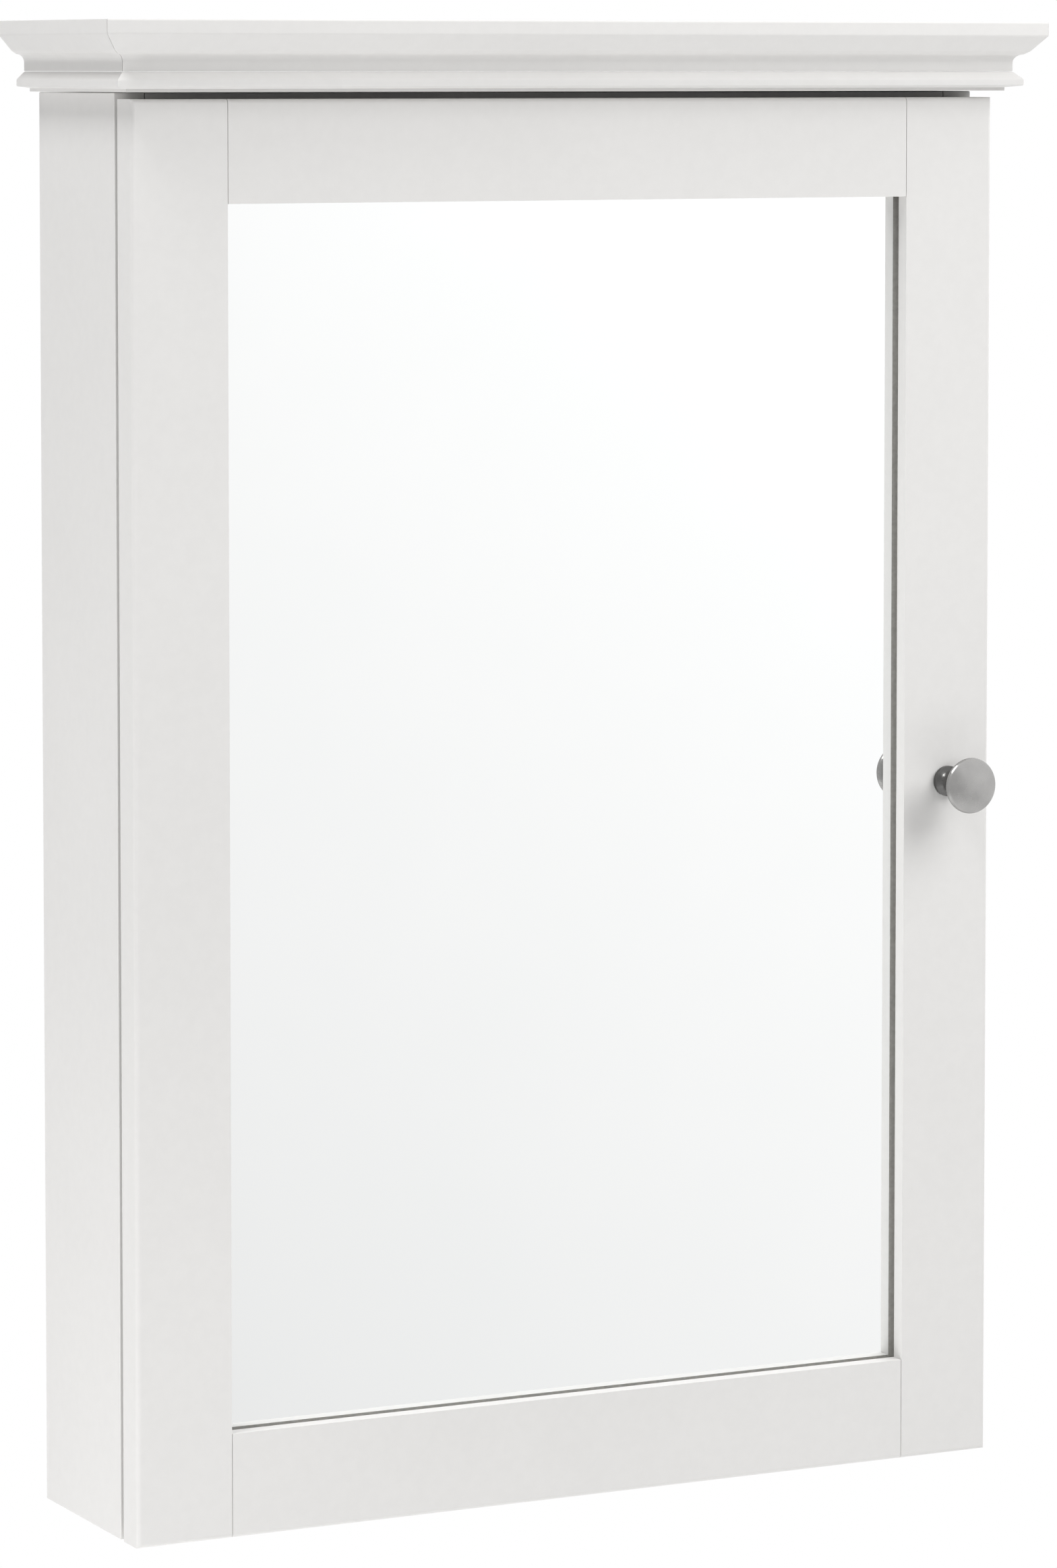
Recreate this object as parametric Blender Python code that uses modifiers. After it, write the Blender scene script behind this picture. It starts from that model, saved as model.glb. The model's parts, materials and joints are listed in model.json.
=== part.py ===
"""Hanging wall cabinet: painted carcass, crown moulding and one framed mirror door
on two concealed four-bar hinges.

Metres, +Z up.  The wall is the plane Y = 0 and the door faces -Y.  The origin is on
the wall, at the centre of the upper hanging rail.
"""
import math

import bmesh
import bpy
from mathutils import Matrix, Vector

# ---------------------------------------------------------------------------
# Driving dimensions
# ---------------------------------------------------------------------------
CLEAR = 0.0003            # gap kept between pieces that touch
PAST = 0.002              # how far a cutter runs past the face it opens

CASE_W = 0.4763           # width of the carcass, and of the door
CASE_D = 0.0954           # wall to the carcass's front edges
CASE_H = 0.7030           # height of the carcass
PANEL = 0.016             # sides, top and bottom
BACK_T = 0.003            # back panel
BACK_LAP = 0.008          # how far the back panel is let into each side

RAIL_H = 0.060            # hanging rails under the top and over the bottom
RAIL_T = 0.016
WALL_HOLE_X = 0.2032      # wall-screw holes, 16 in apart to meet two studs
WALL_HOLE_R = 0.0025

DOOR_H = 0.700
DOOR_T = 0.018
DOOR_GAP = 0.0033         # door's back to the carcass's front edges
STILE_W = 0.0500
TOP_RAIL_H = 0.0503
LOW_RAIL_H = 0.0515
LIP_T = 0.0078            # frame's thickness in front of the mirror
LAP = 0.008               # mirror's lap behind the frame
MIRROR_T = 0.003
BACKING_T = 0.003
PANE_GAP = 0.0006         # mirror and backing to the sides of their rebate
PANE_RIM = 0.0004         # ground rim of the mirror
EDGE_ROUND = 0.0022       # rounding of the door's outer front edges
EDGE_EASE = 0.0008        # easing of the other painted edges

SHELF_T = 0.012
SHELF_SETBACK = 0.008     # shelf's front edge behind the carcass's
SHELF_SIDE_GAP = 0.0008
SHELF_PIN_R = 0.0022
PIN_HOLE_R = 0.0025
PIN_HOLE_DEPTH = 0.010
PIN_STEP = 0.032          # spacing of the shelf-pin holes
PIN_FROM_EDGE = 0.022     # pin rows to the shelf's front and back edges
PIN_REST = (0.0080, 0.0060, 0.0018)   # pad of a pin under the shelf
PIN_COLLAR_R = 0.0019     # collar between the pad and the panel
PIN_COLLAR_REACH = 0.0070
PIN_CORE_R = 0.0017       # core that joins collar and peg
PIN_CORE_IN = 0.0020      # how far the core starts inside the panel
PIN_CORE_REACH = 0.0060

CROWN_FACE = 0.0210       # crown's overhang beyond the case sides and the door
NECK = 0.0077             # overhang of the crown's neck
CROWN_BACK = -0.0060      # back of the moulding, measured the same way
CROWN_H = 0.0350          # crown's top above the carcass
LEDGE_TOP = 0.0100        # ledge board's top above the carcass
BLOCK_LEG = 0.022         # crown's corner blocks
BLOCK_H = 0.018

KNOB_HEAD_R = 0.01425
KNOB_REACH = 0.0290       # knob's front beyond the door
KNOB_NECK_R = 0.0048
KNOB_BASE_R = 0.0078

BUMPER_R = 0.0042
BUMPER_T = 0.0026

HINGE_FROM_END = 0.100    # hinge's centre to the door's top and bottom
CUP_EDGE = 0.0225         # cup's centre to the door's edge
CUP_BORE_R = 0.0175
CUP_R = 0.0172
CUP_DEPTH = 0.0112
CUP_FLOOR = 0.0010
FLANGE_R = 0.0179
FLANGE_T = 0.0008
CUP_SCREW_X = 0.0285      # cup screws, in from the door's edge
CUP_SCREW_Z = 0.0240      # and either side of the cup's centre
TAB_R = 0.0052            # flange's tabs round the cup screws
POCKET_HALF = 0.01485     # half length of the cup's pocket
POCKET_OPEN = 0.006       # how far its cutter runs out of the cup
PIVOT_R = 0.0013          # hinge pivots
EYE_BORE_R = 0.0016       # links' eyes round them
EYE_PROUD = 0.0001        # how far eyes stand out of the blades
OUTER_EYE_R = 0.0024
INNER_EYE_R = 0.0026
EAR_R = 0.0022            # ears on the cup round its outer pivot
OUTER_HALF_W = 0.0017     # half widths of the links' blades
INNER_HALF_W = 0.0016
BEND_EASE = 0.0020        # where a bend of a link starts and ends
MOUTH_SIZE = (0.0080, 0.0060)   # opening of the inner link's cradle
MOUTH_BACK = 0.0020       # how far the opening reaches back along the link
MOUTH_SINK = 0.0004       # how far it reaches past the pivot's centre
PLATE_SCREW_Y = 0.037     # mounting plate's screws behind the carcass's front
PLATE_SCREW_Z = 0.016
PILOT_R = 0.0019          # pilot and clearance holes of the hinge screws
PLATE_PILOT_DEPTH = 0.0135
CUP_PILOT_DEPTH = 0.0120
KNOB_HOLE_R = 0.0024

# Hinge screws: head radius, head height, shank radius, shank length, point length
CUP_SCREW = (0.0031, 0.0013, 0.0015, 0.0105, 0.0020)
PLATE_SCREW = (0.0035, 0.0016, 0.0015, 0.0105, 0.0020)
ARM_SCREW = (0.0040, 0.0019, 0.0019, 0.0090, 0.0000)

# Hinge arm, distances in from the carcass's left face and back from its front edges
ARM_NOSE_R = 0.0024
ARM_WEB_OUT = 0.0416
ARM_TAIL_OUT = 0.0335
ARM_TAIL_IN = 0.0200
ARM_TAIL_END = 0.0700
ARM_WALL = 0.0012
ARM_SCREW_Y = 0.0560
ARM_SLOT_R = 0.0023
PLATE_T = 0.0015
PLATE_WING = (0.0065, 0.0235)    # half sizes of the mounting plate's wings
PLATE_SPINE = (0.0120, 0.0110)   # its spine, in front of the screws and half height
PLATE_SPINE_END = 0.0720
PLATE_BOSS = (0.0420, 0.0690)    # its boss under the arm
PLATE_BOSS_HALF = 0.0052
PLATE_CORNER = 0.0045

# Hinge pivots and the links' bends at rest, in plan: (in from the carcass's left
# face, back from the carcass's front edges)
ARM_OUTER = (0.0380, 0.0211)
CUP_OUTER = (0.0105, -0.0032)
ARM_INNER = (0.0344, -0.0070)
CUP_INNER = (0.0163, -0.0075)
OUTER_BENDS = ((0.0192, 0.0036), (0.0175, -0.0030))
INNER_BENDS = ((0.0230, -0.0113),)

# Half heights of the layers of a hinge, out from its centre
INNER_LINK_Z = 0.0028
OUTER_LINK_Z = (0.0034, 0.0053)
ARM_Z = (0.0058, 0.0068)
POCKET_Z = 0.0074
CHEEK_Z = 0.0085

ROUND_STEPS = 24          # sides of small round pieces

# ---------------------------------------------------------------------------
# Places that follow from them
# ---------------------------------------------------------------------------
HALF_W = CASE_W / 2
CASE_TOP = RAIL_H / 2 + CLEAR + PANEL
CASE_LOW = CASE_TOP - CASE_H
CASE_FRONT = -CASE_D
INSIDE_X = HALF_W - PANEL
INSIDE_TOP = CASE_TOP - PANEL
INSIDE_LOW = CASE_LOW + PANEL
BACK_FACE = -BACK_T - CLEAR           # front of the back panel, with its gap
DOOR_LOW = CASE_LOW
DOOR_TOP = DOOR_LOW + DOOR_H
DOOR_MID = (DOOR_LOW + DOOR_TOP) / 2
DOOR_BACK = CASE_FRONT - DOOR_GAP
DOOR_FRONT = DOOR_BACK - DOOR_T
MIRROR_FRONT = DOOR_FRONT + LIP_T + CLEAR
BACKING_FRONT = MIRROR_FRONT + MIRROR_T + CLEAR
RECESS_X = HALF_W - STILE_W + LAP
RECESS_LOW = DOOR_LOW + LOW_RAIL_H - LAP
RECESS_TOP = DOOR_TOP - TOP_RAIL_H + LAP
KNOB_X = HALF_W - STILE_W / 2
HINGES = {"upper": DOOR_TOP - HINGE_FROM_END, "lower": DOOR_LOW + HINGE_FROM_END}
SHELF_HEIGHTS = {
    "upper": INSIDE_LOW + (INSIDE_TOP - INSIDE_LOW) * 2 / 3,
    "lower": INSIDE_LOW + (INSIDE_TOP - INSIDE_LOW) / 3,
}
SHELF_FRONT = CASE_FRONT + SHELF_SETBACK
SHELF_BACK = BACK_FACE - CLEAR
PIN_ROWS = {"front": SHELF_FRONT + PIN_FROM_EDGE, "back": SHELF_BACK - PIN_FROM_EDGE}


def start_scene():
    for obj in list(bpy.data.objects):
        bpy.data.objects.remove(obj, do_unlink=True)


def new_collection(name):
    made = bpy.data.collections.new(name)
    bpy.context.scene.collection.children.link(made)
    return made


def finish(name, color, roughness, metallic=0.0):
    made = bpy.data.materials.new(name)
    made.use_nodes = True
    shader = made.node_tree.nodes["Principled BSDF"]
    shader.inputs["Base Color"].default_value = (*color, 1.0)
    shader.inputs["Roughness"].default_value = roughness
    shader.inputs["Metallic"].default_value = metallic
    made.diffuse_color = (*color, 1.0)
    return made


start_scene()
PARTS = new_collection("hanging_wall_cabinet")
CUTTERS = new_collection("cutters")
PAINT = finish("white_paint", (0.84, 0.84, 0.82), 0.45)
MIRROR = finish("mirror_glass", (0.90, 0.91, 0.91), 0.03, 1.0)
HARDBOARD = finish("hardboard", (0.42, 0.30, 0.19), 0.75)
NICKEL = finish("satin_nickel", (0.60, 0.58, 0.55), 0.30, 1.0)
STEEL = finish("plated_steel", (0.66, 0.67, 0.68), 0.28, 1.0)
PINE = finish("bare_pine", (0.72, 0.55, 0.36), 0.70)
SOFT_PLASTIC = finish("soft_plastic", (0.80, 0.80, 0.78), 0.50)


# ---------------------------------------------------------------------------
# Modelling tools
# ---------------------------------------------------------------------------
def mesh_from(bm, name):
    bmesh.ops.recalc_face_normals(bm, faces=bm.faces)
    mesh = bpy.data.meshes.new(name)
    bm.to_mesh(mesh)
    bm.free()
    return mesh


def add_part(name, mesh, material, location=(0, 0, 0), carrier=None, smooth=False):
    """Put a mesh in the parts' collection; carrier is the empty on its joint axis."""
    obj = bpy.data.objects.new(name, mesh)
    mesh.materials.append(material)
    PARTS.objects.link(obj)
    obj.location = location
    if carrier is not None:
        obj.parent = carrier
        obj.location = Vector(location) - carrier.location
    if smooth:
        mesh.shade_smooth()
        mesh.set_sharp_from_angle(angle=math.radians(35))
    return obj


def add_carrier(name, location):
    empty = bpy.data.objects.new(name, None)
    empty.location = location
    PARTS.objects.link(empty)
    return empty


def add_tool(name, mesh, location=(0, 0, 0)):
    tool = bpy.data.objects.new(name, mesh)
    CUTTERS.objects.link(tool)
    tool.location = location
    tool.hide_render = True
    tool.display_type = "WIRE"
    return tool


def combine(target, tool, operation="DIFFERENCE"):
    modifier = target.modifiers.new(tool.name, "BOOLEAN")
    modifier.operation = operation
    modifier.solver = "EXACT"
    modifier.object = tool


def lies_on(edge, size, sides):
    """True when the edge lies on the faces of the block that sides names by sign."""
    for axis, sign in enumerate(sides):
        if sign and any(abs(v.co[axis] - sign * size[axis] / 2) > 1e-6 for v in edge.verts):
            return False
    return True


def block_mesh(name, size, eases=()):
    """A block, centred; eases lists (edges by their faces' signs, width, segments)."""
    bm = bmesh.new()
    bmesh.ops.create_cube(bm, size=1.0)
    bmesh.ops.scale(bm, vec=size, verts=bm.verts)
    for edge_sides, width, segments in eases:
        edges = [e for e in bm.edges if any(lies_on(e, size, s) for s in edge_sides)]
        bmesh.ops.bevel(bm, geom=edges, offset=width, segments=segments, profile=0.5,
                        affect="EDGES", clamp_overlap=True)
    return mesh_from(bm, name)


def span(low, high):
    size = [b - a for a, b in zip(low, high)]
    centre = [(a + b) / 2 for a, b in zip(low, high)]
    return size, centre


def add_block(name, low, high, material, eases=(), carrier=None):
    size, centre = span(low, high)
    return add_part(name, block_mesh(name, size, eases), material, centre, carrier)


def block_tool(name, low, high):
    size, centre = span(low, high)
    return add_tool(name, block_mesh(name, size), centre)


def rods_mesh(name, rods, steps=ROUND_STEPS):
    """Closed cylinders in one mesh: each is (start, direction, radius, length)."""
    bm = bmesh.new()
    for start, along, radius, length in rods:
        along = Vector(along).normalized()
        turn = Vector((0, 0, 1)).rotation_difference(along).to_matrix().to_4x4()
        place = Matrix.Translation(Vector(start) + along * length / 2) @ turn
        bmesh.ops.create_cone(bm, cap_ends=True, segments=steps, radius1=radius,
                              radius2=radius, depth=length, matrix=place)
    return mesh_from(bm, name)


def weld(mesh, distance=0.000001):
    bm = bmesh.new()
    bm.from_mesh(mesh)
    bmesh.ops.remove_doubles(bm, verts=bm.verts, dist=distance)
    bmesh.ops.recalc_face_normals(bm, faces=bm.faces)
    bm.to_mesh(mesh)
    bm.free()


def outline_mesh(name, outline, thickness):
    """A flat outline in XY, filled and extruded by thickness about Z = 0."""
    curve = bpy.data.curves.new(name, "CURVE")
    curve.dimensions = "2D"
    curve.fill_mode = "BOTH"
    curve.extrude = thickness / 2
    spline = curve.splines.new("POLY")
    spline.points.add(len(outline) - 1)
    for point, (x, y) in zip(spline.points, outline):
        point.co = (x, y, 0, 1)
    spline.use_cyclic_u = True
    holder = bpy.data.objects.new(name, curve)
    CUTTERS.objects.link(holder)
    depsgraph = bpy.context.evaluated_depsgraph_get()
    mesh = bpy.data.meshes.new_from_object(holder.evaluated_get(depsgraph))
    bpy.data.objects.remove(holder, do_unlink=True)
    weld(mesh)
    return mesh


def turned_part(name, profile, material, location, turn, carrier=None, steps=40):
    """A profile of (radius, height), outer side top to bottom, spun round local Z."""
    bm = bmesh.new()
    verts = [bm.verts.new((r, 0, z)) for r, z in profile]
    for first, second in zip(verts, verts[1:]):
        bm.edges.new((first, second))
    mesh = bpy.data.meshes.new(name)
    bm.to_mesh(mesh)
    bm.free()
    obj = add_part(name, mesh, material, location, carrier)
    obj.rotation_euler = turn
    screw = obj.modifiers.new("turned", "SCREW")
    screw.steps = steps
    screw.render_steps = steps
    screw.use_merge_vertices = True
    screw.merge_threshold = 0.00005
    screw.use_smooth_shade = True
    return obj


def arc(centre, radius, start, end, steps):
    """Points on an arc, angles in degrees."""
    angles = [math.radians(start + (end - start) * i / steps) for i in range(steps + 1)]
    return [(centre[0] + radius * math.cos(a), centre[1] + radius * math.sin(a)) for a in angles]


ALONG_X = (0, math.radians(90), 0)     # turns local +Z to +X
TOWARDS_ROOM = (math.radians(90), 0, 0)   # turns local +Z to -Y
TOWARDS_WALL = (math.radians(-90), 0, 0)  # turns local +Z to +Y


# ---------------------------------------------------------------------------
# Carcass
# ---------------------------------------------------------------------------
def shelf_pin_holes():
    """Pin holes of both sides: a row of three heights at each shelf corner."""
    rods = []
    for shelf_z in SHELF_HEIGHTS.values():
        for row_y in PIN_ROWS.values():
            for step in (-1, 0, 1):
                z = shelf_z - PIN_HOLE_R + step * PIN_STEP
                for side in (-1, 1):
                    start = (side * (INSIDE_X - PAST), row_y, z)
                    rods.append((start, (side, 0, 0), PIN_HOLE_R, PIN_HOLE_DEPTH + PAST))
    return add_tool("cut_pin_holes", rods_mesh("cut_pin_holes", rods, 12))


def build_carcass():
    front = [(-1, -1, 0), (1, -1, 0)]
    pin_holes = shelf_pin_holes()
    back_seat = block_tool("cut_back_seat",
                           (-HALF_W + BACK_LAP, -BACK_T - CLEAR, CASE_LOW - PAST),
                           (HALF_W - BACK_LAP, PAST, CASE_TOP + PAST))
    plate_screws = add_tool("cut_plate_screws", rods_mesh("cut_plate_screws", [
        ((-INSIDE_X + PAST, CASE_FRONT + PLATE_SCREW_Y, z + dz), (-1, 0, 0), PILOT_R, PLATE_PILOT_DEPTH)
        for z in HINGES.values() for dz in (-PLATE_SCREW_Z, PLATE_SCREW_Z)], 12))
    for name, x0, x1 in (("side_panel_left", -HALF_W, -INSIDE_X),
                         ("side_panel_right", INSIDE_X, HALF_W)):
        side = add_block(name, (x0, CASE_FRONT, CASE_LOW), (x1, 0, CASE_TOP), PAINT,
                         [(front, EDGE_EASE, 2)])
        combine(side, back_seat)
        combine(side, pin_holes)
        if name == "side_panel_left":
            combine(side, plate_screws)

    inner = INSIDE_X - CLEAR
    front = [(0, -1, -1), (0, -1, 1)]
    add_block("top_panel", (-inner, CASE_FRONT, INSIDE_TOP), (inner, BACK_FACE, CASE_TOP),
              PAINT, [(front, EDGE_EASE, 2)])
    add_block("bottom_panel", (-inner, CASE_FRONT, CASE_LOW), (inner, BACK_FACE, INSIDE_LOW),
              PAINT, [(front, EDGE_EASE, 2)])

    wall_holes = add_tool("cut_wall_holes", rods_mesh("cut_wall_holes", [
        ((x, PAST, z), (0, -1, 0), WALL_HOLE_R, BACK_T + RAIL_T + 2 * PAST)
        for x in (-WALL_HOLE_X, WALL_HOLE_X) for z in (0, INSIDE_LOW + RAIL_H / 2)], 16))
    back_x = HALF_W - BACK_LAP - CLEAR
    back = add_block("back_panel", (-back_x, -BACK_T, CASE_LOW), (back_x, 0, CASE_TOP), PAINT)
    combine(back, wall_holes)
    for name, low in (("hanging_rail_upper", -RAIL_H / 2),
                      ("hanging_rail_lower", INSIDE_LOW + CLEAR)):
        rail = add_block(name, (-inner, BACK_FACE - RAIL_T, low),
                         (inner, BACK_FACE, low + RAIL_H), PAINT,
                         [([(0, -1, -1), (0, -1, 1)], EDGE_EASE, 1)])
        combine(rail, wall_holes)


# ---------------------------------------------------------------------------
# Shelves and their pins
# ---------------------------------------------------------------------------
def shelf_pin_mesh(name):
    """The peg of a shelf pin, along -X from the panel's inner face."""
    bm = bmesh.new()
    peg_length = PIN_HOLE_DEPTH - 2 * CLEAR
    shift = Matrix.Translation((-peg_length / 2, 0, 0)) @ Matrix.Rotation(math.radians(90), 4, "Y")
    bmesh.ops.create_cone(bm, cap_ends=True, segments=16, radius1=SHELF_PIN_R,
                          radius2=SHELF_PIN_R, depth=peg_length, matrix=shift)
    return mesh_from(bm, name)


def build_shelves():
    half = INSIDE_X - SHELF_SIDE_GAP
    for level, bottom in SHELF_HEIGHTS.items():
        add_block("shelf_" + level, (-half, SHELF_FRONT, bottom),
                  (half, SHELF_BACK, bottom + SHELF_T), PAINT,
                  [([(0, -1, -1), (0, -1, 1)], 0.0015, 2)])
        for side_name, side in (("left", -1), ("right", 1)):
            for row, y in PIN_ROWS.items():
                name = f"shelf_pin_{level}_{side_name}_{row}"
                face = side * INSIDE_X
                z = bottom - PIN_HOLE_R
                pin = add_part(name, shelf_pin_mesh(name), STEEL, (face, y, z))
                if side > 0:
                    pin.rotation_euler = (0, 0, math.radians(180))
                pad_x = face - side * (CLEAR + PIN_REST[0] / 2)
                pad_z = bottom - CLEAR - PIN_REST[2] / 2
                rest = add_tool("rest_" + name, block_mesh("rest_" + name, PIN_REST),
                                (pad_x, y, pad_z))
                collar = add_tool("collar_" + name, rods_mesh("collar_" + name, [
                    ((face - side * CLEAR, y, z), (-side, 0, 0), PIN_COLLAR_R,
                     PIN_COLLAR_REACH)], 12))
                core = add_tool("core_" + name, rods_mesh("core_" + name, [
                    ((face + side * PIN_CORE_IN, y, z), (-side, 0, 0), PIN_CORE_R,
                     PIN_CORE_REACH)], 12))
                combine(pin, core, "UNION")
                combine(pin, collar, "UNION")
                combine(pin, rest, "UNION")


# ---------------------------------------------------------------------------
# Crown
# ---------------------------------------------------------------------------
def crown_profile():
    """(overhang, height above the carcass): neck, cove, bevel and top fillet."""
    cove_r = 0.0042
    cove_z = 0.0145
    bevel_start = (0.0143, 0.0203)
    fillet_low = 0.0280
    top_r = 0.0010
    cove = arc((NECK + cove_r, cove_z), cove_r, 180, 90, 5)
    top_round = arc((CROWN_FACE - top_r, CROWN_H - top_r), top_r, 0, 90, 2)
    return ([(CROWN_BACK, LEDGE_TOP + CLEAR), (NECK, LEDGE_TOP + CLEAR)] + cove
            + [bevel_start, (CROWN_FACE, fillet_low)] + top_round + [(CROWN_BACK, CROWN_H)])


def add_moulding(name, turn, ends):
    """A run of crown along local Z; ends holds (place, mitre) of its low and high end.

    A mitred end leans out with the overhang, so that two runs meet at 45 degrees.
    """
    mesh = outline_mesh(name, crown_profile(), 1.0)
    for vertex in mesh.vertices:
        place, mitre = ends[vertex.co.z > 0]
        vertex.co.z = place + mitre * vertex.co.x
    mesh.transform(turn)
    return add_part(name, mesh, PAINT)


def axes_matrix(x_to, y_to, z_to, origin):
    matrix = Matrix((x_to, y_to, z_to)).transposed().to_4x4()
    matrix.translation = origin
    return matrix


def ledge_mesh():
    """The ledge board, lofted through rectangles that widen and narrow going up."""
    profile = [(0.0047, CLEAR), (0.0047, 0.0020), (0.0118, 0.0029), (0.0118, 0.0062),
               (0.0080, LEDGE_TOP - 0.0003), (0.0074, LEDGE_TOP)]
    bm = bmesh.new()
    rings = []
    for overhang, height in profile:
        x = HALF_W + overhang
        y = DOOR_FRONT - overhang
        z = CASE_TOP + height
        corners = ((-x, 0, z), (-x, y, z), (x, y, z), (x, 0, z))
        rings.append([bm.verts.new(corner) for corner in corners])
    for lower, upper in zip(rings, rings[1:]):
        for i in range(4):
            j = (i + 1) % 4
            bm.faces.new((lower[i], lower[j], upper[j], upper[i]))
    bm.faces.new(rings[0])
    bm.faces.new(rings[-1])
    return mesh_from(bm, "ledge_board")


def build_crown():
    add_part("ledge_board", ledge_mesh(), PAINT)
    gap = CLEAR * 0.75
    out = Vector((0, -1, 0))
    up = Vector((0, 0, 1))
    top = Vector((0, 0, CASE_TOP))
    front = axes_matrix(out, up, out.cross(up), top + Vector((0, DOOR_FRONT, 0)))
    reach = HALF_W - gap
    add_moulding("crown_front", front, ((-reach, -1), (reach, 1)))
    for name, side in (("crown_left", -1), ("crown_right", 1)):
        out = Vector((side, 0, 0))
        along = out.cross(up)
        turn = axes_matrix(out, up, along, top + Vector((side * HALF_W, 0, 0)))
        mitred = DOOR_FRONT + gap
        if along.y > 0:
            ends = ((mitred, -1), (0.0, 0))
        else:
            ends = ((0.0, 0), (-mitred, 1))
        add_moulding(name, turn, ends)
        leg = BLOCK_LEG
        inner_x = HALF_W + CROWN_BACK - CLEAR
        inner_y = DOOR_FRONT - CROWN_BACK + CLEAR
        corner = [(side * inner_x, inner_y), (side * (inner_x - leg), inner_y),
                  (side * inner_x, inner_y + leg)]
        mesh = outline_mesh("crown_block", corner, BLOCK_H)
        block_name = "crown_block_" + name.split("_")[1]
        z = CASE_TOP + LEDGE_TOP + CLEAR + BLOCK_H / 2
        add_part(block_name, mesh, PINE, (0, 0, z))


# ---------------------------------------------------------------------------
# Door
# ---------------------------------------------------------------------------
def build_door(carrier):
    recess = block_tool("cut_mirror_recess", (-RECESS_X, DOOR_FRONT + LIP_T, RECESS_LOW),
                        (RECESS_X, DOOR_BACK + PAST, RECESS_TOP))
    cup_bores = add_tool("cut_cup_bores", rods_mesh("cut_cup_bores", [
        ((-HALF_W + CUP_EDGE, DOOR_BACK + PAST, z), (0, -1, 0), CUP_BORE_R,
         CUP_DEPTH + CLEAR + PAST) for z in HINGES.values()], 40))
    cup_screws = add_tool("cut_cup_screws", rods_mesh("cut_cup_screws", [
        ((-HALF_W + CUP_SCREW_X, DOOR_BACK + PAST, z + dz), (0, -1, 0), PILOT_R,
         CUP_PILOT_DEPTH + PAST)
        for z in HINGES.values() for dz in (-CUP_SCREW_Z, CUP_SCREW_Z)], 12))
    knob_hole = add_tool("cut_knob_hole", rods_mesh("cut_knob_hole", [
        ((KNOB_X, DOOR_BACK + PAST, DOOR_MID), (0, -1, 0), KNOB_HOLE_R,
         DOOR_T + 2 * PAST)], 16))

    for name, side in (("door_stile_left", -1), ("door_stile_right", 1)):
        outer = side * HALF_W
        inner = side * (HALF_W - STILE_W)
        rounded = [(side, -1, 0), (0, -1, 1), (0, -1, -1)]
        eased = [(-side, -1, 0)]
        stile = add_block(name, (min(outer, inner), DOOR_FRONT, DOOR_LOW),
                          (max(outer, inner), DOOR_BACK, DOOR_TOP), PAINT,
                          [(rounded, EDGE_ROUND, 3), (eased, EDGE_EASE, 1)], carrier)
        combine(stile, recess)
        if side < 0:
            combine(stile, cup_bores)
            combine(stile, cup_screws)
        else:
            combine(stile, knob_hole)

    rail_x = HALF_W - STILE_W - CLEAR
    for name, low, high, outer_sign in (
            ("door_rail_top", DOOR_TOP - TOP_RAIL_H, DOOR_TOP, 1),
            ("door_rail_bottom", DOOR_LOW, DOOR_LOW + LOW_RAIL_H, -1)):
        eased = [(0, -1, -outer_sign), (-1, -1, 0), (1, -1, 0)]
        rail = add_block(name, (-rail_x, DOOR_FRONT, low), (rail_x, DOOR_BACK, high), PAINT,
                         [([(0, -1, outer_sign)], EDGE_ROUND, 3), (eased, EDGE_EASE, 1)], carrier)
        combine(rail, recess)

    pane_x = RECESS_X - PANE_GAP
    pane_low = RECESS_LOW + PANE_GAP
    pane_top = RECESS_TOP - PANE_GAP
    rim = [(sx, -1, 0) for sx in (-1, 1)] + [(0, -1, sz) for sz in (-1, 1)]
    add_block("mirror", (-pane_x, MIRROR_FRONT, pane_low),
              (pane_x, MIRROR_FRONT + MIRROR_T, pane_top), MIRROR, [(rim, PANE_RIM, 1)], carrier)
    add_block("mirror_backing", (-pane_x, BACKING_FRONT, pane_low),
              (pane_x, BACKING_FRONT + BACKING_T, pane_top), HARDBOARD, (), carrier)
    build_knob(carrier)


def build_knob(carrier):
    """The knob's round head on a waisted neck, and the screw through the stile."""
    face = KNOB_REACH
    head_z = face - 0.0048
    edge = arc((KNOB_HEAD_R - 0.0016, head_z), 0.0016, 50, -60, 5)
    profile = [(0.0, face), (0.0045, face - 0.0002), (0.0088, face - 0.0011),
               (0.0118, face - 0.0024)] + edge
    profile += [(0.0098, head_z - 0.0052), (0.0066, head_z - 0.0092)]
    profile += [(KNOB_NECK_R, head_z - 0.0130), (KNOB_NECK_R, 0.0060), (0.0056, 0.0038)]
    profile += [(KNOB_BASE_R, 0.0026), (KNOB_BASE_R, CLEAR), (0.0023, CLEAR)]
    profile += [(0.0023, 0.0120), (0.0, 0.0120)]
    turned_part("knob", profile, NICKEL, (KNOB_X, DOOR_FRONT, DOOR_MID), TOWARDS_ROOM,
                carrier, 48)
    shank = DOOR_T + 0.0105
    screw = [(0.0, 0.0026), (0.0024, 0.0024), (0.0038, 0.0014), (0.0040, CLEAR),
             (0.0020, CLEAR), (0.0020, -shank), (0.0, -shank)]
    turned_part("knob_screw", screw, STEEL, (KNOB_X, DOOR_BACK, DOOR_MID), TOWARDS_WALL,
                carrier, 16)


def build_bumpers():
    """Two soft discs on the right side's front edge, for the door to close on."""
    dome = [(0.0, BUMPER_T), (BUMPER_R * 0.55, BUMPER_T * 0.88), (BUMPER_R, BUMPER_T * 0.35),
            (BUMPER_R, CLEAR), (0.0, CLEAR)]
    for name, z in (("door_bumper_upper", DOOR_TOP - 0.030), ("door_bumper_lower", DOOR_LOW + 0.030)):
        turned_part(name, dome, SOFT_PLASTIC, (HALF_W - PANEL / 2, CASE_FRONT, z),
                    TOWARDS_ROOM, None, 24)


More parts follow.
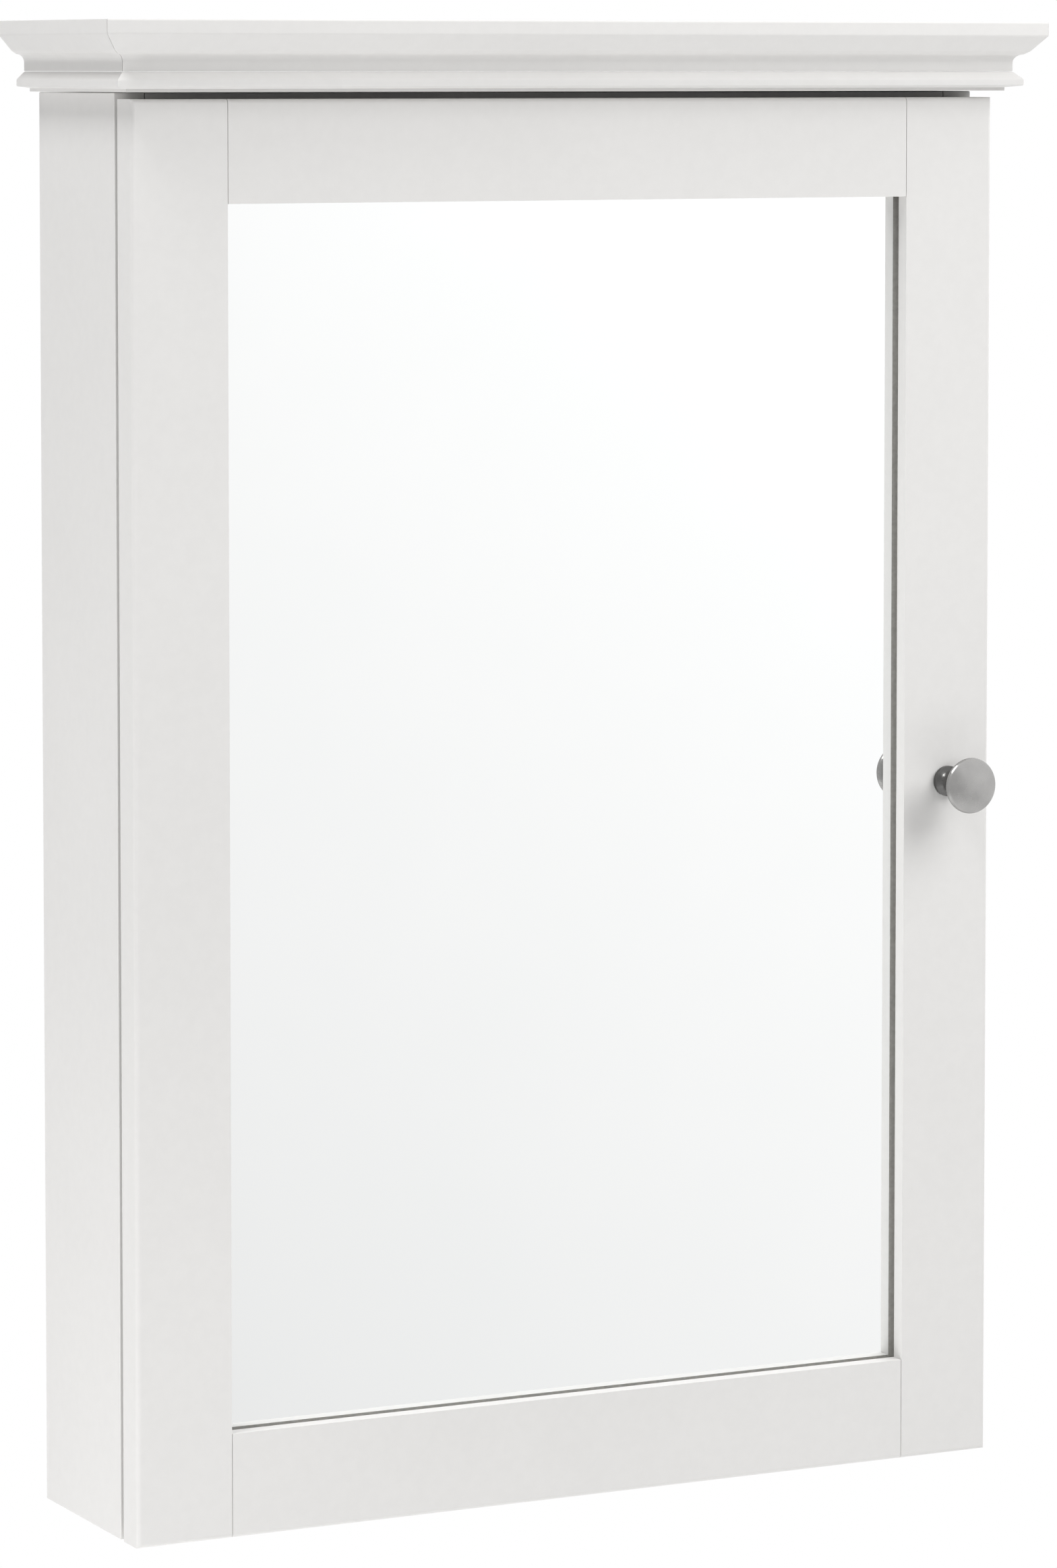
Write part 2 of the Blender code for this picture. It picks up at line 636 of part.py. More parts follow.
# ---------------------------------------------------------------------------
# Concealed hinges
# ---------------------------------------------------------------------------
def screw_profile(head_r, head_h, shank_r, length, point):
    """A pan-head screw, its head standing on height 0 and its shank going down."""
    return [(0.0, head_h), (head_r * 0.57, head_h * 0.96), (head_r, head_h * 0.25),
            (head_r, 0.0), (shank_r, 0.0), (shank_r, -length), (0.0, -length - point)]


def plan(point, z=0.0):
    """World place of a point given in from the left face and back from the front."""
    return Vector((point[0] - HALF_W, point[1] - CASE_D, z))


def strip_outline(points, half_width, end_steps=8):
    """Outline of a strip along a bent centre line, with round ends, from plan points."""
    points = [Vector(p) for p in points]
    first, last = points[0], points[-1]
    centre = [first]
    for previous, bend, following in zip(points, points[1:], points[2:]):
        before = bend + (previous - bend).normalized() * BEND_EASE
        after = bend + (following - bend).normalized() * BEND_EASE
        for i in range(5):
            t = i / 4
            centre.append(before * (1 - t) ** 2 + bend * 2 * t * (1 - t) + after * t ** 2)
    centre.append(last)
    sides = ([], [])
    for i, point in enumerate(centre):
        ahead = centre[min(i + 1, len(centre) - 1)] - centre[max(i - 1, 0)]
        normal = Vector((-ahead.y, ahead.x)).normalized() * half_width
        sides[0].append(point + normal)
        sides[1].append(point - normal)
    start = math.degrees(math.atan2(*(sides[1][0] - first).yx))
    end = math.degrees(math.atan2(*(sides[0][-1] - last).yx))
    cap_start = arc(first, half_width, start, start - 180, end_steps)[1:-1]
    cap_end = arc(last, half_width, end, end - 180, end_steps)[1:-1]
    outline = [tuple(p) for p in sides[0]] + cap_end + [tuple(p) for p in reversed(sides[1])]
    return outline + cap_start


def plan_mesh(name, outline, low, high):
    """An outline given in plan, extruded from height low to height high."""
    mesh = outline_mesh(name, outline, high - low)
    mesh.transform(Matrix.Translation((-HALF_W, -CASE_D, (low + high) / 2)))
    return mesh


def upright(point, radius, low, high):
    """A rod along Z at a plan point."""
    return (plan(point, low), (0, 0, 1), radius, high - low)


def build_outer_link(level, z, carrier):
    """Two bent blades joined by a sleeve round the arm's outer pivot.

    At the cup's outer pivot each blade ends in its own eye, so that the inner link
    can pass between the two.
    """
    name = "outer_link_" + level
    outline = strip_outline((ARM_OUTER, *OUTER_BENDS, CUP_OUTER), OUTER_HALF_W)
    near, far = OUTER_LINK_Z
    mesh = plan_mesh(name, outline, near, far)
    mesh.transform(Matrix.Translation((0, 0, z)) @ Matrix.Translation(-carrier.location))
    link = add_part(name, mesh, STEEL, carrier.location, carrier, smooth=True)
    below = add_tool("blade_" + name, plan_mesh("blade_" + name, outline, z - far, z - near))
    inner_face = near - EYE_PROUD
    outer_face = far + EYE_PROUD
    rings = add_tool("rings_" + name, rods_mesh("rings_" + name, [
        upright(ARM_OUTER, OUTER_EYE_R, z - outer_face, z + outer_face),
        upright(CUP_OUTER, OUTER_EYE_R, z - outer_face, z - inner_face),
        upright(CUP_OUTER, OUTER_EYE_R, z + inner_face, z + outer_face)]))
    bores = add_tool("bores_" + name, rods_mesh("bores_" + name, [
        upright(p, EYE_BORE_R, z - 2 * far, z + 2 * far) for p in (ARM_OUTER, CUP_OUTER)], 16))
    combine(link, rings, "UNION")
    combine(link, below, "UNION")
    combine(link, bores)


def build_inner_link(level, z, carrier):
    """One bent blade with an eye on the arm's pivot and a cradle for the cup's pivot.

    The cradle is open on its front side: the cup's pivot leaves it by up to 3 mm in
    the middle of the swing and is seated in it at both ends of the swing.
    """
    name = "inner_link_" + level
    outline = strip_outline((ARM_INNER, *INNER_BENDS, CUP_INNER), INNER_HALF_W)
    half = INNER_LINK_Z
    mesh = plan_mesh(name, outline, -half, half)
    mesh.transform(Matrix.Translation((0, 0, z)) @ Matrix.Translation(-carrier.location))
    link = add_part(name, mesh, STEEL, carrier.location, carrier, smooth=True)
    face = half + EYE_PROUD
    eyes = add_tool("eyes_" + name, rods_mesh("eyes_" + name, [
        upright(p, INNER_EYE_R, z - face, z + face) for p in (ARM_INNER, CUP_INNER)]))
    bores = add_tool("bores_" + name, rods_mesh("bores_" + name, [
        upright(p, EYE_BORE_R, z - 2 * half, z + 2 * half) for p in (ARM_INNER, CUP_INNER)], 16))
    along = Vector(CUP_INNER) - Vector(ARM_INNER)
    turn = math.atan2(along.y, along.x)
    mouth = add_tool("mouth_" + name, block_mesh("mouth_" + name, (*MOUTH_SIZE, 4 * half)))
    offset = Vector((MOUTH_SIZE[0] / 2 - MOUTH_BACK, MOUTH_SIZE[1] / 2 - MOUTH_SINK))
    offset.rotate(Matrix.Rotation(turn, 2))
    mouth.location = plan(Vector(CUP_INNER) + offset, z)
    mouth.rotation_euler = (0, 0, turn)
    combine(link, eyes, "UNION")
    combine(link, bores)
    combine(link, mouth)


def flange_outline(steps=96):
    """The cup's round flange with a round tab over each cup screw, about its centre."""
    tab = Vector((CUP_SCREW_X - CUP_EDGE, CUP_SCREW_Z))
    outline = []
    for i in range(steps):
        angle = 2 * math.pi * i / steps
        out = Vector((math.cos(angle), math.sin(angle)))
        reach = FLANGE_R
        for centre in (tab, Vector((tab.x, -tab.y))):
            near = centre.dot(out)
            aside = centre.length_squared - near ** 2
            if near > 0 and aside < TAB_R ** 2:
                reach = max(reach, near + math.sqrt(TAB_R ** 2 - aside))
        outline.append(tuple(out * reach))
    return outline


def build_cup(level, z, carrier):
    """The cup with its flange, its pocket, and the two pivots across the pocket."""
    name = "hinge_cup_" + level
    centre = Vector((-HALF_W + CUP_EDGE, DOOR_BACK, z))
    flange = outline_mesh(name, flange_outline(), FLANGE_T)
    flange.transform(Matrix.Rotation(math.radians(90), 4, "X"))
    flange_y = CLEAR + FLANGE_T / 2
    flange.transform(Matrix.Translation(centre + Vector((0, flange_y, 0)) - carrier.location))
    cup = add_part(name, flange, STEEL, carrier.location, carrier, smooth=True)
    bowl = add_tool("bowl_" + name, rods_mesh("bowl_" + name, [
        (centre + Vector((0, CLEAR + FLANGE_T / 2, 0)), (0, -1, 0), CUP_R,
         CUP_DEPTH + CLEAR + FLANGE_T / 2)], 48))
    pocket = block_tool("pocket_" + name,
                        centre + Vector((-POCKET_HALF, -CUP_DEPTH + CUP_FLOOR, -POCKET_Z)),
                        centre + Vector((POCKET_HALF, POCKET_OPEN, POCKET_Z)))
    ears = add_tool("ears_" + name, rods_mesh("ears_" + name, [
        upright(CUP_OUTER, EAR_R, z + near, z + far)
        for near, far in ((-CHEEK_Z, -ARM_Z[0]), (ARM_Z[0], CHEEK_Z))]))
    pivots = add_tool("pivots_" + name, rods_mesh("pivots_" + name, [
        upright(p, PIVOT_R, z - CHEEK_Z + CLEAR, z + CHEEK_Z - CLEAR)
        for p in (CUP_OUTER, CUP_INNER)], 16))
    holes = add_tool("holes_" + name, rods_mesh("holes_" + name, [
        ((-HALF_W + CUP_SCREW_X, DOOR_BACK - PAST, z + dz), (0, 1, 0), PILOT_R, 3 * PAST)
        for dz in (-CUP_SCREW_Z, CUP_SCREW_Z)], 12))
    combine(cup, bowl, "UNION")
    combine(cup, pocket)
    combine(cup, ears, "UNION")
    combine(cup, pivots, "UNION")
    combine(cup, holes)

    for side, dz in (("upper", CUP_SCREW_Z), ("lower", -CUP_SCREW_Z)):
        place = Vector((-HALF_W + CUP_SCREW_X, DOOR_BACK + 2 * CLEAR + FLANGE_T, z + dz))
        turned_part(f"cup_screw_{level}_{side}", screw_profile(*CUP_SCREW), STEEL, place,
                    TOWARDS_WALL, carrier, 16)


def build_arm(level, z):
    """The channel-shaped arm over its mounting plate, with both fixed pivots."""
    name = "hinge_arm_" + level
    nose_x = ARM_INNER[0]
    outline = arc(ARM_INNER, ARM_NOSE_R, 180, 360, 8)
    outline += [(nose_x + ARM_NOSE_R, 0.0030), (ARM_WEB_OUT, 0.0120), (ARM_WEB_OUT, 0.0290),
                (ARM_TAIL_OUT, 0.0410), (ARM_TAIL_OUT, ARM_TAIL_END),
                (ARM_TAIL_IN, ARM_TAIL_END), (ARM_TAIL_IN, 0.0290), (0.0260, 0.0160),
                (nose_x - ARM_NOSE_R, 0.0050)]
    arm = add_part(name, plan_mesh(name, outline, z - ARM_Z[1], z + ARM_Z[1]), STEEL)
    web_in = ARM_WEB_OUT - ARM_WALL
    tail_in = ARM_TAIL_OUT - ARM_WALL
    web_start = ARM_OUTER[1] + 0.0040
    hollow_outline = [(0.0050, -0.0200), (0.0500, -0.0200), (0.0500, web_start),
                      (web_in, web_start), (web_in, 0.0286), (tail_in, 0.0406),
                      (tail_in, 0.0800), (0.0050, 0.0800)]
    hollow = add_tool("hollow_" + name, plan_mesh("hollow_" + name, hollow_outline,
                                                  z - ARM_Z[0], z + ARM_Z[0]))
    pivot_end = ARM_Z[1] + 2 * EYE_PROUD
    pivots = add_tool("pivots_" + name, rods_mesh("pivots_" + name, [
        upright(p, PIVOT_R, z - pivot_end, z + pivot_end) for p in (ARM_OUTER, ARM_INNER)], 16))
    slot = add_tool("slot_" + name, rods_mesh("slot_" + name, [
        (plan((ARM_TAIL_OUT - 2 * PAST, ARM_SCREW_Y), z), (1, 0, 0), ARM_SLOT_R, 4 * PAST)], 16))
    combine(arm, hollow)
    combine(arm, pivots, "UNION")
    combine(arm, slot)

    boss_top = tail_in - CLEAR
    base_low = PANEL + CLEAR
    base_top = base_low + PLATE_T
    wing_y = PLATE_SCREW_Y
    plate_name = "hinge_plate_" + level
    wing_low = plan((base_low, wing_y - PLATE_WING[0]), z - PLATE_WING[1])
    wing_high = plan((base_top, wing_y + PLATE_WING[0]), z + PLATE_WING[1])
    corners = [(0, -1, -1), (0, -1, 1), (0, 1, -1), (0, 1, 1)]
    plate = add_block(plate_name, wing_low, wing_high, STEEL, [(corners, PLATE_CORNER, 3)])
    spine = block_tool("spine_" + plate_name,
                       plan((base_low, wing_y - PLATE_SPINE[0]), z - PLATE_SPINE[1]),
                       plan((base_top + 0.0004, PLATE_SPINE_END), z + PLATE_SPINE[1]))
    boss = block_tool("boss_" + plate_name,
                      plan((base_top - 0.0005, PLATE_BOSS[0]), z - PLATE_BOSS_HALF),
                      plan((boss_top, PLATE_BOSS[1]), z + PLATE_BOSS_HALF))
    screw_holes = add_tool("holes_" + plate_name, rods_mesh("holes_" + plate_name, [
        (plan((base_low - PAST, wing_y), z + dz), (1, 0, 0), PILOT_R, 3 * PAST)
        for dz in (-PLATE_SCREW_Z, PLATE_SCREW_Z)] + [
        (plan((boss_top - 0.0100, ARM_SCREW_Y), z), (1, 0, 0), 0.0022, 0.0120)], 12))
    combine(plate, spine, "UNION")
    combine(plate, boss, "UNION")
    combine(plate, screw_holes)

    for side, dz in (("upper", PLATE_SCREW_Z), ("lower", -PLATE_SCREW_Z)):
        place = plan((base_top + CLEAR, wing_y), z + dz)
        turned_part(f"plate_screw_{level}_{side}", screw_profile(*PLATE_SCREW), STEEL, place,
                    ALONG_X, None, 16)
    turned_part("arm_screw_" + level, screw_profile(*ARM_SCREW), STEEL,
                plan((ARM_TAIL_OUT + CLEAR, ARM_SCREW_Y), z), ALONG_X, None, 16)


def build_hinges(outer_carrier, inner_carrier, door_carrier):
    for level, z in HINGES.items():
        build_arm(level, z)
        build_outer_link(level, z, outer_carrier)
        build_inner_link(level, z, inner_carrier)
        build_cup(level, z, door_carrier)


def build():
    outer_axis = add_carrier("outer_links_axis", plan(ARM_OUTER, DOOR_MID))
    inner_axis = add_carrier("inner_links_axis", plan(ARM_INNER, DOOR_MID))
    door_axis = add_carrier("door_axis", plan(CUP_OUTER, DOOR_MID))
    build_carcass()
    build_shelves()
    build_crown()
    build_door(door_axis)
    build_bumpers()
    build_hinges(outer_axis, inner_axis, door_axis)


build()
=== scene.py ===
"""Studio scene of the hanging wall cabinet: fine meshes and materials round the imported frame.

Metres, +Z up.  The wall is the plane Y = 0 and the door faces -Y.
"""
import json
import math

import bmesh
import bpy
from mathutils import Matrix, Vector


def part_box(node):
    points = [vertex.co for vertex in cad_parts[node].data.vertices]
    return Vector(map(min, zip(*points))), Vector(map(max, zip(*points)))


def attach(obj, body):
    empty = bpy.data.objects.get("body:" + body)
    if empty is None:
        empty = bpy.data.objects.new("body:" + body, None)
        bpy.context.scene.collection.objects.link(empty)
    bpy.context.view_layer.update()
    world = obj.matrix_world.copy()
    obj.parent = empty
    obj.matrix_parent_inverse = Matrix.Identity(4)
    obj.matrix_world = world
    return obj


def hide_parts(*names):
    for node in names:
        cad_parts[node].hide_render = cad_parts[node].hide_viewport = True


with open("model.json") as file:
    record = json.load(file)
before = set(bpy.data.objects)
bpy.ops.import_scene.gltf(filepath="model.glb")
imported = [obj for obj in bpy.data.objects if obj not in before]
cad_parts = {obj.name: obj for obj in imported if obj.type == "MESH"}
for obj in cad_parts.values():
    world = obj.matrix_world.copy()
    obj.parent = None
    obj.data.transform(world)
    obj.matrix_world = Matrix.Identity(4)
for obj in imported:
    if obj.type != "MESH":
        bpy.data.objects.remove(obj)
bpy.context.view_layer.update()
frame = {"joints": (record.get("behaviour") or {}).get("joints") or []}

# ---- Places read from the frame ----
LEVELS = ("upper", "lower")
SIDES = {"left": -1, "right": 1}
CASE = {side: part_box("side_panel_" + side) for side in SIDES}
CASE_LEFT = CASE["left"][0].x
CASE_RIGHT = CASE["right"][1].x
INSIDE_LEFT = CASE["left"][1].x
INSIDE_RIGHT = CASE["right"][0].x
CASE_FRONT = CASE["left"][0].y
CASE_LOW = CASE["left"][0].z
CASE_TOP = CASE["left"][1].z
BACK_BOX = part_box("back_panel")
STILE = {side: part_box("door_stile_" + side) for side in SIDES}
RAIL = {"top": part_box("door_rail_top"), "bottom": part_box("door_rail_bottom")}
DOOR_FRONT = STILE["left"][0].y
DOOR_BACK = STILE["left"][1].y
MIRROR_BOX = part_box("mirror")
BACKING_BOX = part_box("mirror_backing")
KNOB_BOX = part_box("knob")
KNOB_PLACE = Vector(((KNOB_BOX[0].x + KNOB_BOX[1].x) / 2, DOOR_FRONT,
                     (KNOB_BOX[0].z + KNOB_BOX[1].z) / 2))
JOINT_PLACE = {joint["name"]: Vector(joint["pos_m"]) for joint in frame["joints"]}

# Sizes of the details that only the looks have
PAINT_EASE = 0.0006       # softened arris of a painted board
DOOR_ROUND = 0.0022       # outer front edges of the door
GROOVE_EASE = 0.0006      # each side of a joint between stile and rail
SILVER_DEPTH = 0.0026     # how deep the silvering seems to lie in the glass
PIN_HOLE_R = 0.0025
PIN_HOLE_DEPTH = 0.010
PIN_STEP = 0.032
PIN_SINK = 0.0005         # softened rim of a pin hole
WALL_HOLE_X = 0.2032
WALL_HOLE_R = 0.0025
SKIN = 0.0001             # how far a countersink's cutter starts outside its face
PANE_GAP = 0.0006         # mirror and backing to the sides of their rebate
CLOSE = 0.0003            # air between pieces that touch
CUP_EDGE = 0.0225         # hinge cup's centre to the door's edge
CUP_BORE_R = 0.0175
CUP_DEPTH = 0.0112
PAST = 0.002              # how far a cutter runs past the face it opens


# ---- Materials ----
class Wiring:
    """Adds nodes to a node tree and wires them up."""

    def __init__(self, tree):
        self.tree = tree

    def add(self, kind, values=None, **settings):
        node = self.tree.nodes.new(kind)
        for key, value in settings.items():
            setattr(node, key, value)
        for name, value in (values or {}).items():
            node.inputs[name].default_value = value
        return node

    def link(self, value, socket):
        """Set a number on the socket, or join an output to it."""
        if isinstance(value, (int, float)):
            socket.default_value = value
        else:
            self.tree.links.new(value, socket)


class Nodes(Wiring):
    """A new material's nodes, placed by object coordinates."""

    def __init__(self, name):
        self.material = bpy.data.materials.new(name)
        self.material.use_nodes = True
        super().__init__(self.material.node_tree)
        self.shader = self.tree.nodes["Principled BSDF"]
        self.place = self.add("ShaderNodeTexCoord").outputs["Object"]

    def stretched(self, scale, rotation=(0, 0, 0), centre=(0, 0, 0)):
        """Object coordinates moved to centre, turned and scaled along each axis."""
        values = {"Location": centre, "Rotation": rotation, "Scale": [1 / s for s in scale]}
        node = self.add("ShaderNodeMapping", values, vector_type="TEXTURE")
        self.link(self.place, node.inputs["Vector"])
        return node.outputs["Vector"]

    def noise(self, scale, detail=2.0, roughness=0.5, vector=None):
        values = {"Scale": scale, "Detail": detail, "Roughness": roughness}
        node = self.add("ShaderNodeTexNoise", values)
        self.link(vector or self.place, node.inputs["Vector"])
        return node.outputs["Fac"]

    def ramp(self, fac, stops):
        """stops: (position, color or grey value)."""
        node = self.add("ShaderNodeValToRGB")
        elements = node.color_ramp.elements
        while len(elements) < len(stops):
            elements.new(0.5)
        for element, (position, color) in zip(elements, stops):
            if not hasattr(color, "__len__"):
                color = (color, color, color)
            element.position = position
            element.color = (*color, 1.0)
        self.link(fac, node.inputs["Fac"])
        return node.outputs["Color"]

    def mix(self, fac, first, second):
        node = self.add("ShaderNodeMix", data_type="RGBA")
        self.link(fac, node.inputs["Factor"])
        self.link(first, node.inputs[6])
        self.link(second, node.inputs[7])
        return node.outputs[2]

    def math(self, operation, first, second):
        node = self.add("ShaderNodeMath", operation=operation)
        self.link(first, node.inputs[0])
        self.link(second, node.inputs[1])
        return node.outputs[0]

    def bump(self, height, distance, strength=1.0, below=None):
        node = self.add("ShaderNodeBump", {"Distance": distance, "Strength": strength})
        self.link(height, node.inputs["Height"])
        if below is not None:
            self.link(below, node.inputs["Normal"])
        return node.outputs["Normal"]

    def finish(self, color=None, roughness=None, normal=None, **fixed):
        for name, output in (("Base Color", color), ("Roughness", roughness), ("Normal", normal)):
            if output is not None:
                self.link(output, self.shader.inputs[name])
        for name, value in fixed.items():
            self.shader.inputs[name.replace("_", " ")].default_value = value
        return self.material


def grey(output_range, warm=0.0):
    """A pair of ramp stops from dark to light, warm takes a little blue away."""
    return [(position, (value, value * (1 - warm * 0.4), value * (1 - warm)))
            for position, value in output_range]


def paint_material(name, tone=1.0, brush=(1, 1, 1)):
    """Satin paint on fibreboard: faint mottling, roller stipple and levelled brush marks."""
    n = Nodes(name)
    cloud = n.noise(6.0, 3.0, 0.55)
    color = n.ramp(cloud, grey([(0.30, 0.800 * tone), (0.70, 0.828 * tone)], 0.030))
    specks = n.noise(160.0, 2.0, 0.6)
    color = n.mix(0.10, color, n.ramp(specks, grey([(0.35, 0.74), (0.65, 0.86)], 0.02)))
    gloss = n.noise(38.0, 4.0, 0.6)
    roughness = n.ramp(gloss, [(0.25, 0.36), (0.75, 0.47)])
    stipple = n.noise(900.0, 3.0, 0.55)
    streaks = n.noise(70.0, 3.0, 0.6, n.stretched(brush))
    normal = n.bump(stipple, 0.000035, 0.55)
    normal = n.bump(streaks, 0.00012, 0.30, normal)
    return n.finish(color, roughness, normal, IOR=1.50)


def fibreboard_and_shade_material():
    """Sawn fibreboard with a mist of overspray, inside the rebate behind the mirror; greyer than the
    paint, it is also painted shade along the mirror's edges.
    """
    n = Nodes("fibreboard_and_painted_shade")
    fibres = n.noise(420.0, 5.0, 0.7)
    color = n.ramp(fibres, [(0.3, (0.58, 0.56, 0.53)), (0.7, (0.74, 0.72, 0.69))])
    return n.finish(color, n.ramp(fibres, [(0.3, 0.8), (0.7, 0.95)]),
                    n.bump(fibres, 0.0002, 0.5))


def mirror_material():
    """Silvered glass: almost clean, with the faintest haze and waviness."""
    n = Nodes("silvered_glass")
    haze = n.noise(9.0, 4.0, 0.6)
    color = n.ramp(haze, [(0.2, (0.925, 0.935, 0.932)), (0.8, (0.945, 0.950, 0.948))])
    roughness = n.ramp(haze, [(0.3, 0.004), (0.8, 0.012)])
    wave = n.noise(3.0, 1.0, 0.4)
    return n.finish(color, roughness, n.bump(wave, 0.00002, 0.2), Metallic=1.0)


def hardboard_material():
    """Pressed brown fibre sheet with a screen texture on its rough side."""
    n = Nodes("hardboard_fibre")
    fibres = n.noise(240.0, 6.0, 0.7, n.stretched((1.0, 1.0, 0.45)))
    blotch = n.noise(14.0, 3.0, 0.5)
    color = n.ramp(fibres, [(0.25, (0.22, 0.135, 0.075)), (0.75, (0.43, 0.29, 0.17))])
    color = n.mix(0.25, color, n.ramp(blotch, [(0.3, (0.26, 0.17, 0.10)), (0.7, (0.45, 0.31, 0.20))]))
    screen = n.add("ShaderNodeTexBrick", {"Scale": 420.0, "Mortar Size": 0.16}, offset=0.5)
    n.link(n.stretched((1, 1, 1), (math.radians(90), 0, 0)), screen.inputs["Vector"])
    normal = n.bump(screen.outputs["Fac"], 0.00012, 0.35)
    return n.finish(color, n.ramp(fibres, [(0.3, 0.62), (0.7, 0.85)]),
                    n.bump(fibres, 0.00015, 0.5, normal))


def pine_material():
    """Sawn pine with growth rings along its length and darker fibres."""
    n = Nodes("sawn_pine")
    rings = n.add("ShaderNodeTexWave", {"Scale": 60.0, "Distortion": 3.5, "Detail": 3.0},
                  wave_type="RINGS", rings_direction="X")
    n.link(n.stretched((0.25, 1.0, 1.0)), rings.inputs["Vector"])
    color = n.ramp(rings.outputs["Fac"], [(0.2, (0.58, 0.38, 0.19)), (0.8, (0.78, 0.60, 0.38))])
    fibres = n.noise(300.0, 4.0, 0.6, n.stretched((0.08, 1, 1)))
    color = n.mix(0.3, color, n.ramp(fibres, [(0.3, (0.50, 0.34, 0.18)), (0.7, (0.80, 0.64, 0.43))]))
    return n.finish(color, n.ramp(fibres, [(0.3, 0.6), (0.7, 0.8)]), n.bump(fibres, 0.0002, 0.6))


def nickel_material():
    """Satin nickel turned on a lathe, with painted shade: the colour turns dark from behind the head
    down the neck to the foot.
    """
    n = Nodes("turned_nickel")
    centred = n.stretched((1, 1, 1), (0, 0, 0), KNOB_PLACE)
    rings = n.add("ShaderNodeTexWave", {"Scale": 900.0, "Distortion": 1.2, "Detail": 2.0},
                  wave_type="RINGS", rings_direction="Y")
    n.link(centred, rings.inputs["Vector"])
    film = n.noise(120.0, 3.0, 0.6)
    bright = n.ramp(film, grey([(0.3, 0.37), (0.7, 0.42)], 0.03))
    painted_neck_shade = n.ramp(film, grey([(0.3, 0.10), (0.7, 0.15)], 0.03))
    split = n.add("ShaderNodeSeparateXYZ")
    n.link(n.place, split.inputs[0])
    depth = n.math("SUBTRACT", split.outputs["Y"], KNOB_BOX[0].y)
    # painted shade: dark nickel from about 6 mm behind the face of the head
    shade_in = n.ramp(n.math("MULTIPLY", depth, 50.0), [(0.30, 0.0), (0.48, 1.0)])
    color = n.mix(shade_in, bright, painted_neck_shade)
    roughness = n.ramp(film, [(0.3, 0.20), (0.7, 0.30)])
    return n.finish(color, roughness, n.bump(rings.outputs["Fac"], 0.00001, 0.5), Metallic=1.0)


def steel_material(name="plated_steel", tone=1.0, stretch=(1, 1, 0.12)):
    """Nickel-plated pressed steel with fine rolling lines and a worn sheen."""
    n = Nodes(name)
    lines = n.noise(1400.0, 3.0, 0.6, n.stretched(stretch))
    film = n.noise(90.0, 3.0, 0.6)
    color = n.ramp(film, grey([(0.3, 0.56 * tone), (0.7, 0.68 * tone)], 0.02))
    roughness = n.ramp(film, [(0.25, 0.20), (0.75, 0.33)])
    return n.finish(color, roughness, n.bump(lines, 0.00001, 0.5), Metallic=1.0)


def clear_bumper_material():
    """Soft translucent plastic, a little cloudy."""
    n = Nodes("soft_clear_plastic")
    cloud = n.noise(500.0, 3.0, 0.6)
    color = n.ramp(cloud, grey([(0.3, 0.70), (0.7, 0.80)], 0.02))
    return n.finish(color, n.ramp(cloud, [(0.3, 0.30), (0.7, 0.42)]),
                    n.bump(cloud, 0.00002, 0.3), Transmission_Weight=0.25)


PAINT = paint_material("white_paint", brush=(1, 1, 0.05))
PAINT_ACROSS = paint_material("white_paint_across", brush=(0.05, 1, 1))
PAINT_INSIDE = paint_material("white_paint_inside", 0.985, (1, 1, 0.05))
# bare board in the rebate and the cup bores; in the rebate its grey is also painted shade
FIBREBOARD_AND_SHADE = fibreboard_and_shade_material()
SILVER = mirror_material()
HARDBOARD = hardboard_material()
PINE = pine_material()
NICKEL = nickel_material()
STEEL = steel_material()
STEEL_BRIGHT = steel_material("plated_steel_bright", 1.12, (0.12, 1, 1))
# dark steel: the pivot pins, and painted shade on the walls of holes, bores, cross recesses, the mouth
# notch and the stamp
STEEL_DARK = steel_material("pivot_steel_and_painted_shade", 0.62, (1, 1, 1))
BUMPER = clear_bumper_material()


# ---- Mesh tools ----
def solid(name, bm, material=None):
    """An object with the mesh that bm holds."""
    bmesh.ops.recalc_face_normals(bm, faces=bm.faces)
    mesh = bpy.data.meshes.new(name)
    bm.to_mesh(mesh)
    bm.free()
    if material is not None:
        mesh.materials.append(material)
    obj = bpy.data.objects.new(name, mesh)
    bpy.context.scene.collection.objects.link(obj)
    return obj


def bake_modifiers(obj):
    """Replace the object's mesh by what its modifiers make of it."""
    bpy.context.view_layer.update()
    depsgraph = bpy.context.evaluated_depsgraph_get()
    mesh = bpy.data.meshes.new_from_object(obj.evaluated_get(depsgraph))
    obj.modifiers.clear()
    obj.data = mesh


def combine(obj, tools, operation="DIFFERENCE", keep_tools=False):
    """Cut, or join, obj with each tool, then drop the tools."""
    for tool in tools:
        modifier = obj.modifiers.new("combine", "BOOLEAN")
        modifier.operation = operation
        modifier.solver = "EXACT"
        modifier.material_mode = "TRANSFER"
        modifier.object = tool
    bake_modifiers(obj)
    if not keep_tools:
        for tool in tools:
            bpy.data.objects.remove(tool, do_unlink=True)


def shade(obj, angle=32, weighted=True):
    """Smooth rounded stretches and keep flat faces flat."""
    obj.data.shade_smooth()
    obj.data.set_sharp_from_angle(angle=math.radians(angle))
    if weighted:
        modifier = obj.modifiers.new("flat_faces_lead", "WEIGHTED_NORMAL")
        modifier.keep_sharp = True
        modifier.weight = 80
    return obj


def piece(obj, body, slot_name, *nodes):
    """Hang a finished piece on its body, as the stand-in for its CAD nodes."""
    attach(obj, body)
    if nodes:
        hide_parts(*nodes)


def on_faces(edge, size, sides):
    for axis, sign in enumerate(sides):
        if sign and any(abs(v.co[axis] - sign * size[axis] / 2) > 1e-6 for v in edge.verts):
            return False
    return True


ALL_EDGES = [(x, y, z) for x in (-1, 0, 1) for y in (-1, 0, 1) for z in (-1, 0, 1)
             if (x, y, z).count(0) == 1]


def rims(axis, sign):
    """The edges round one face of a board, or with sign 0 those along the axis."""
    return [edge for edge in ALL_EDGES if edge[axis] == sign]


SOFT = [(ALL_EDGES, PAINT_EASE, 3)]      # painted boards
THIN = [(ALL_EDGES, 0.0003, 2)]          # thin sheets


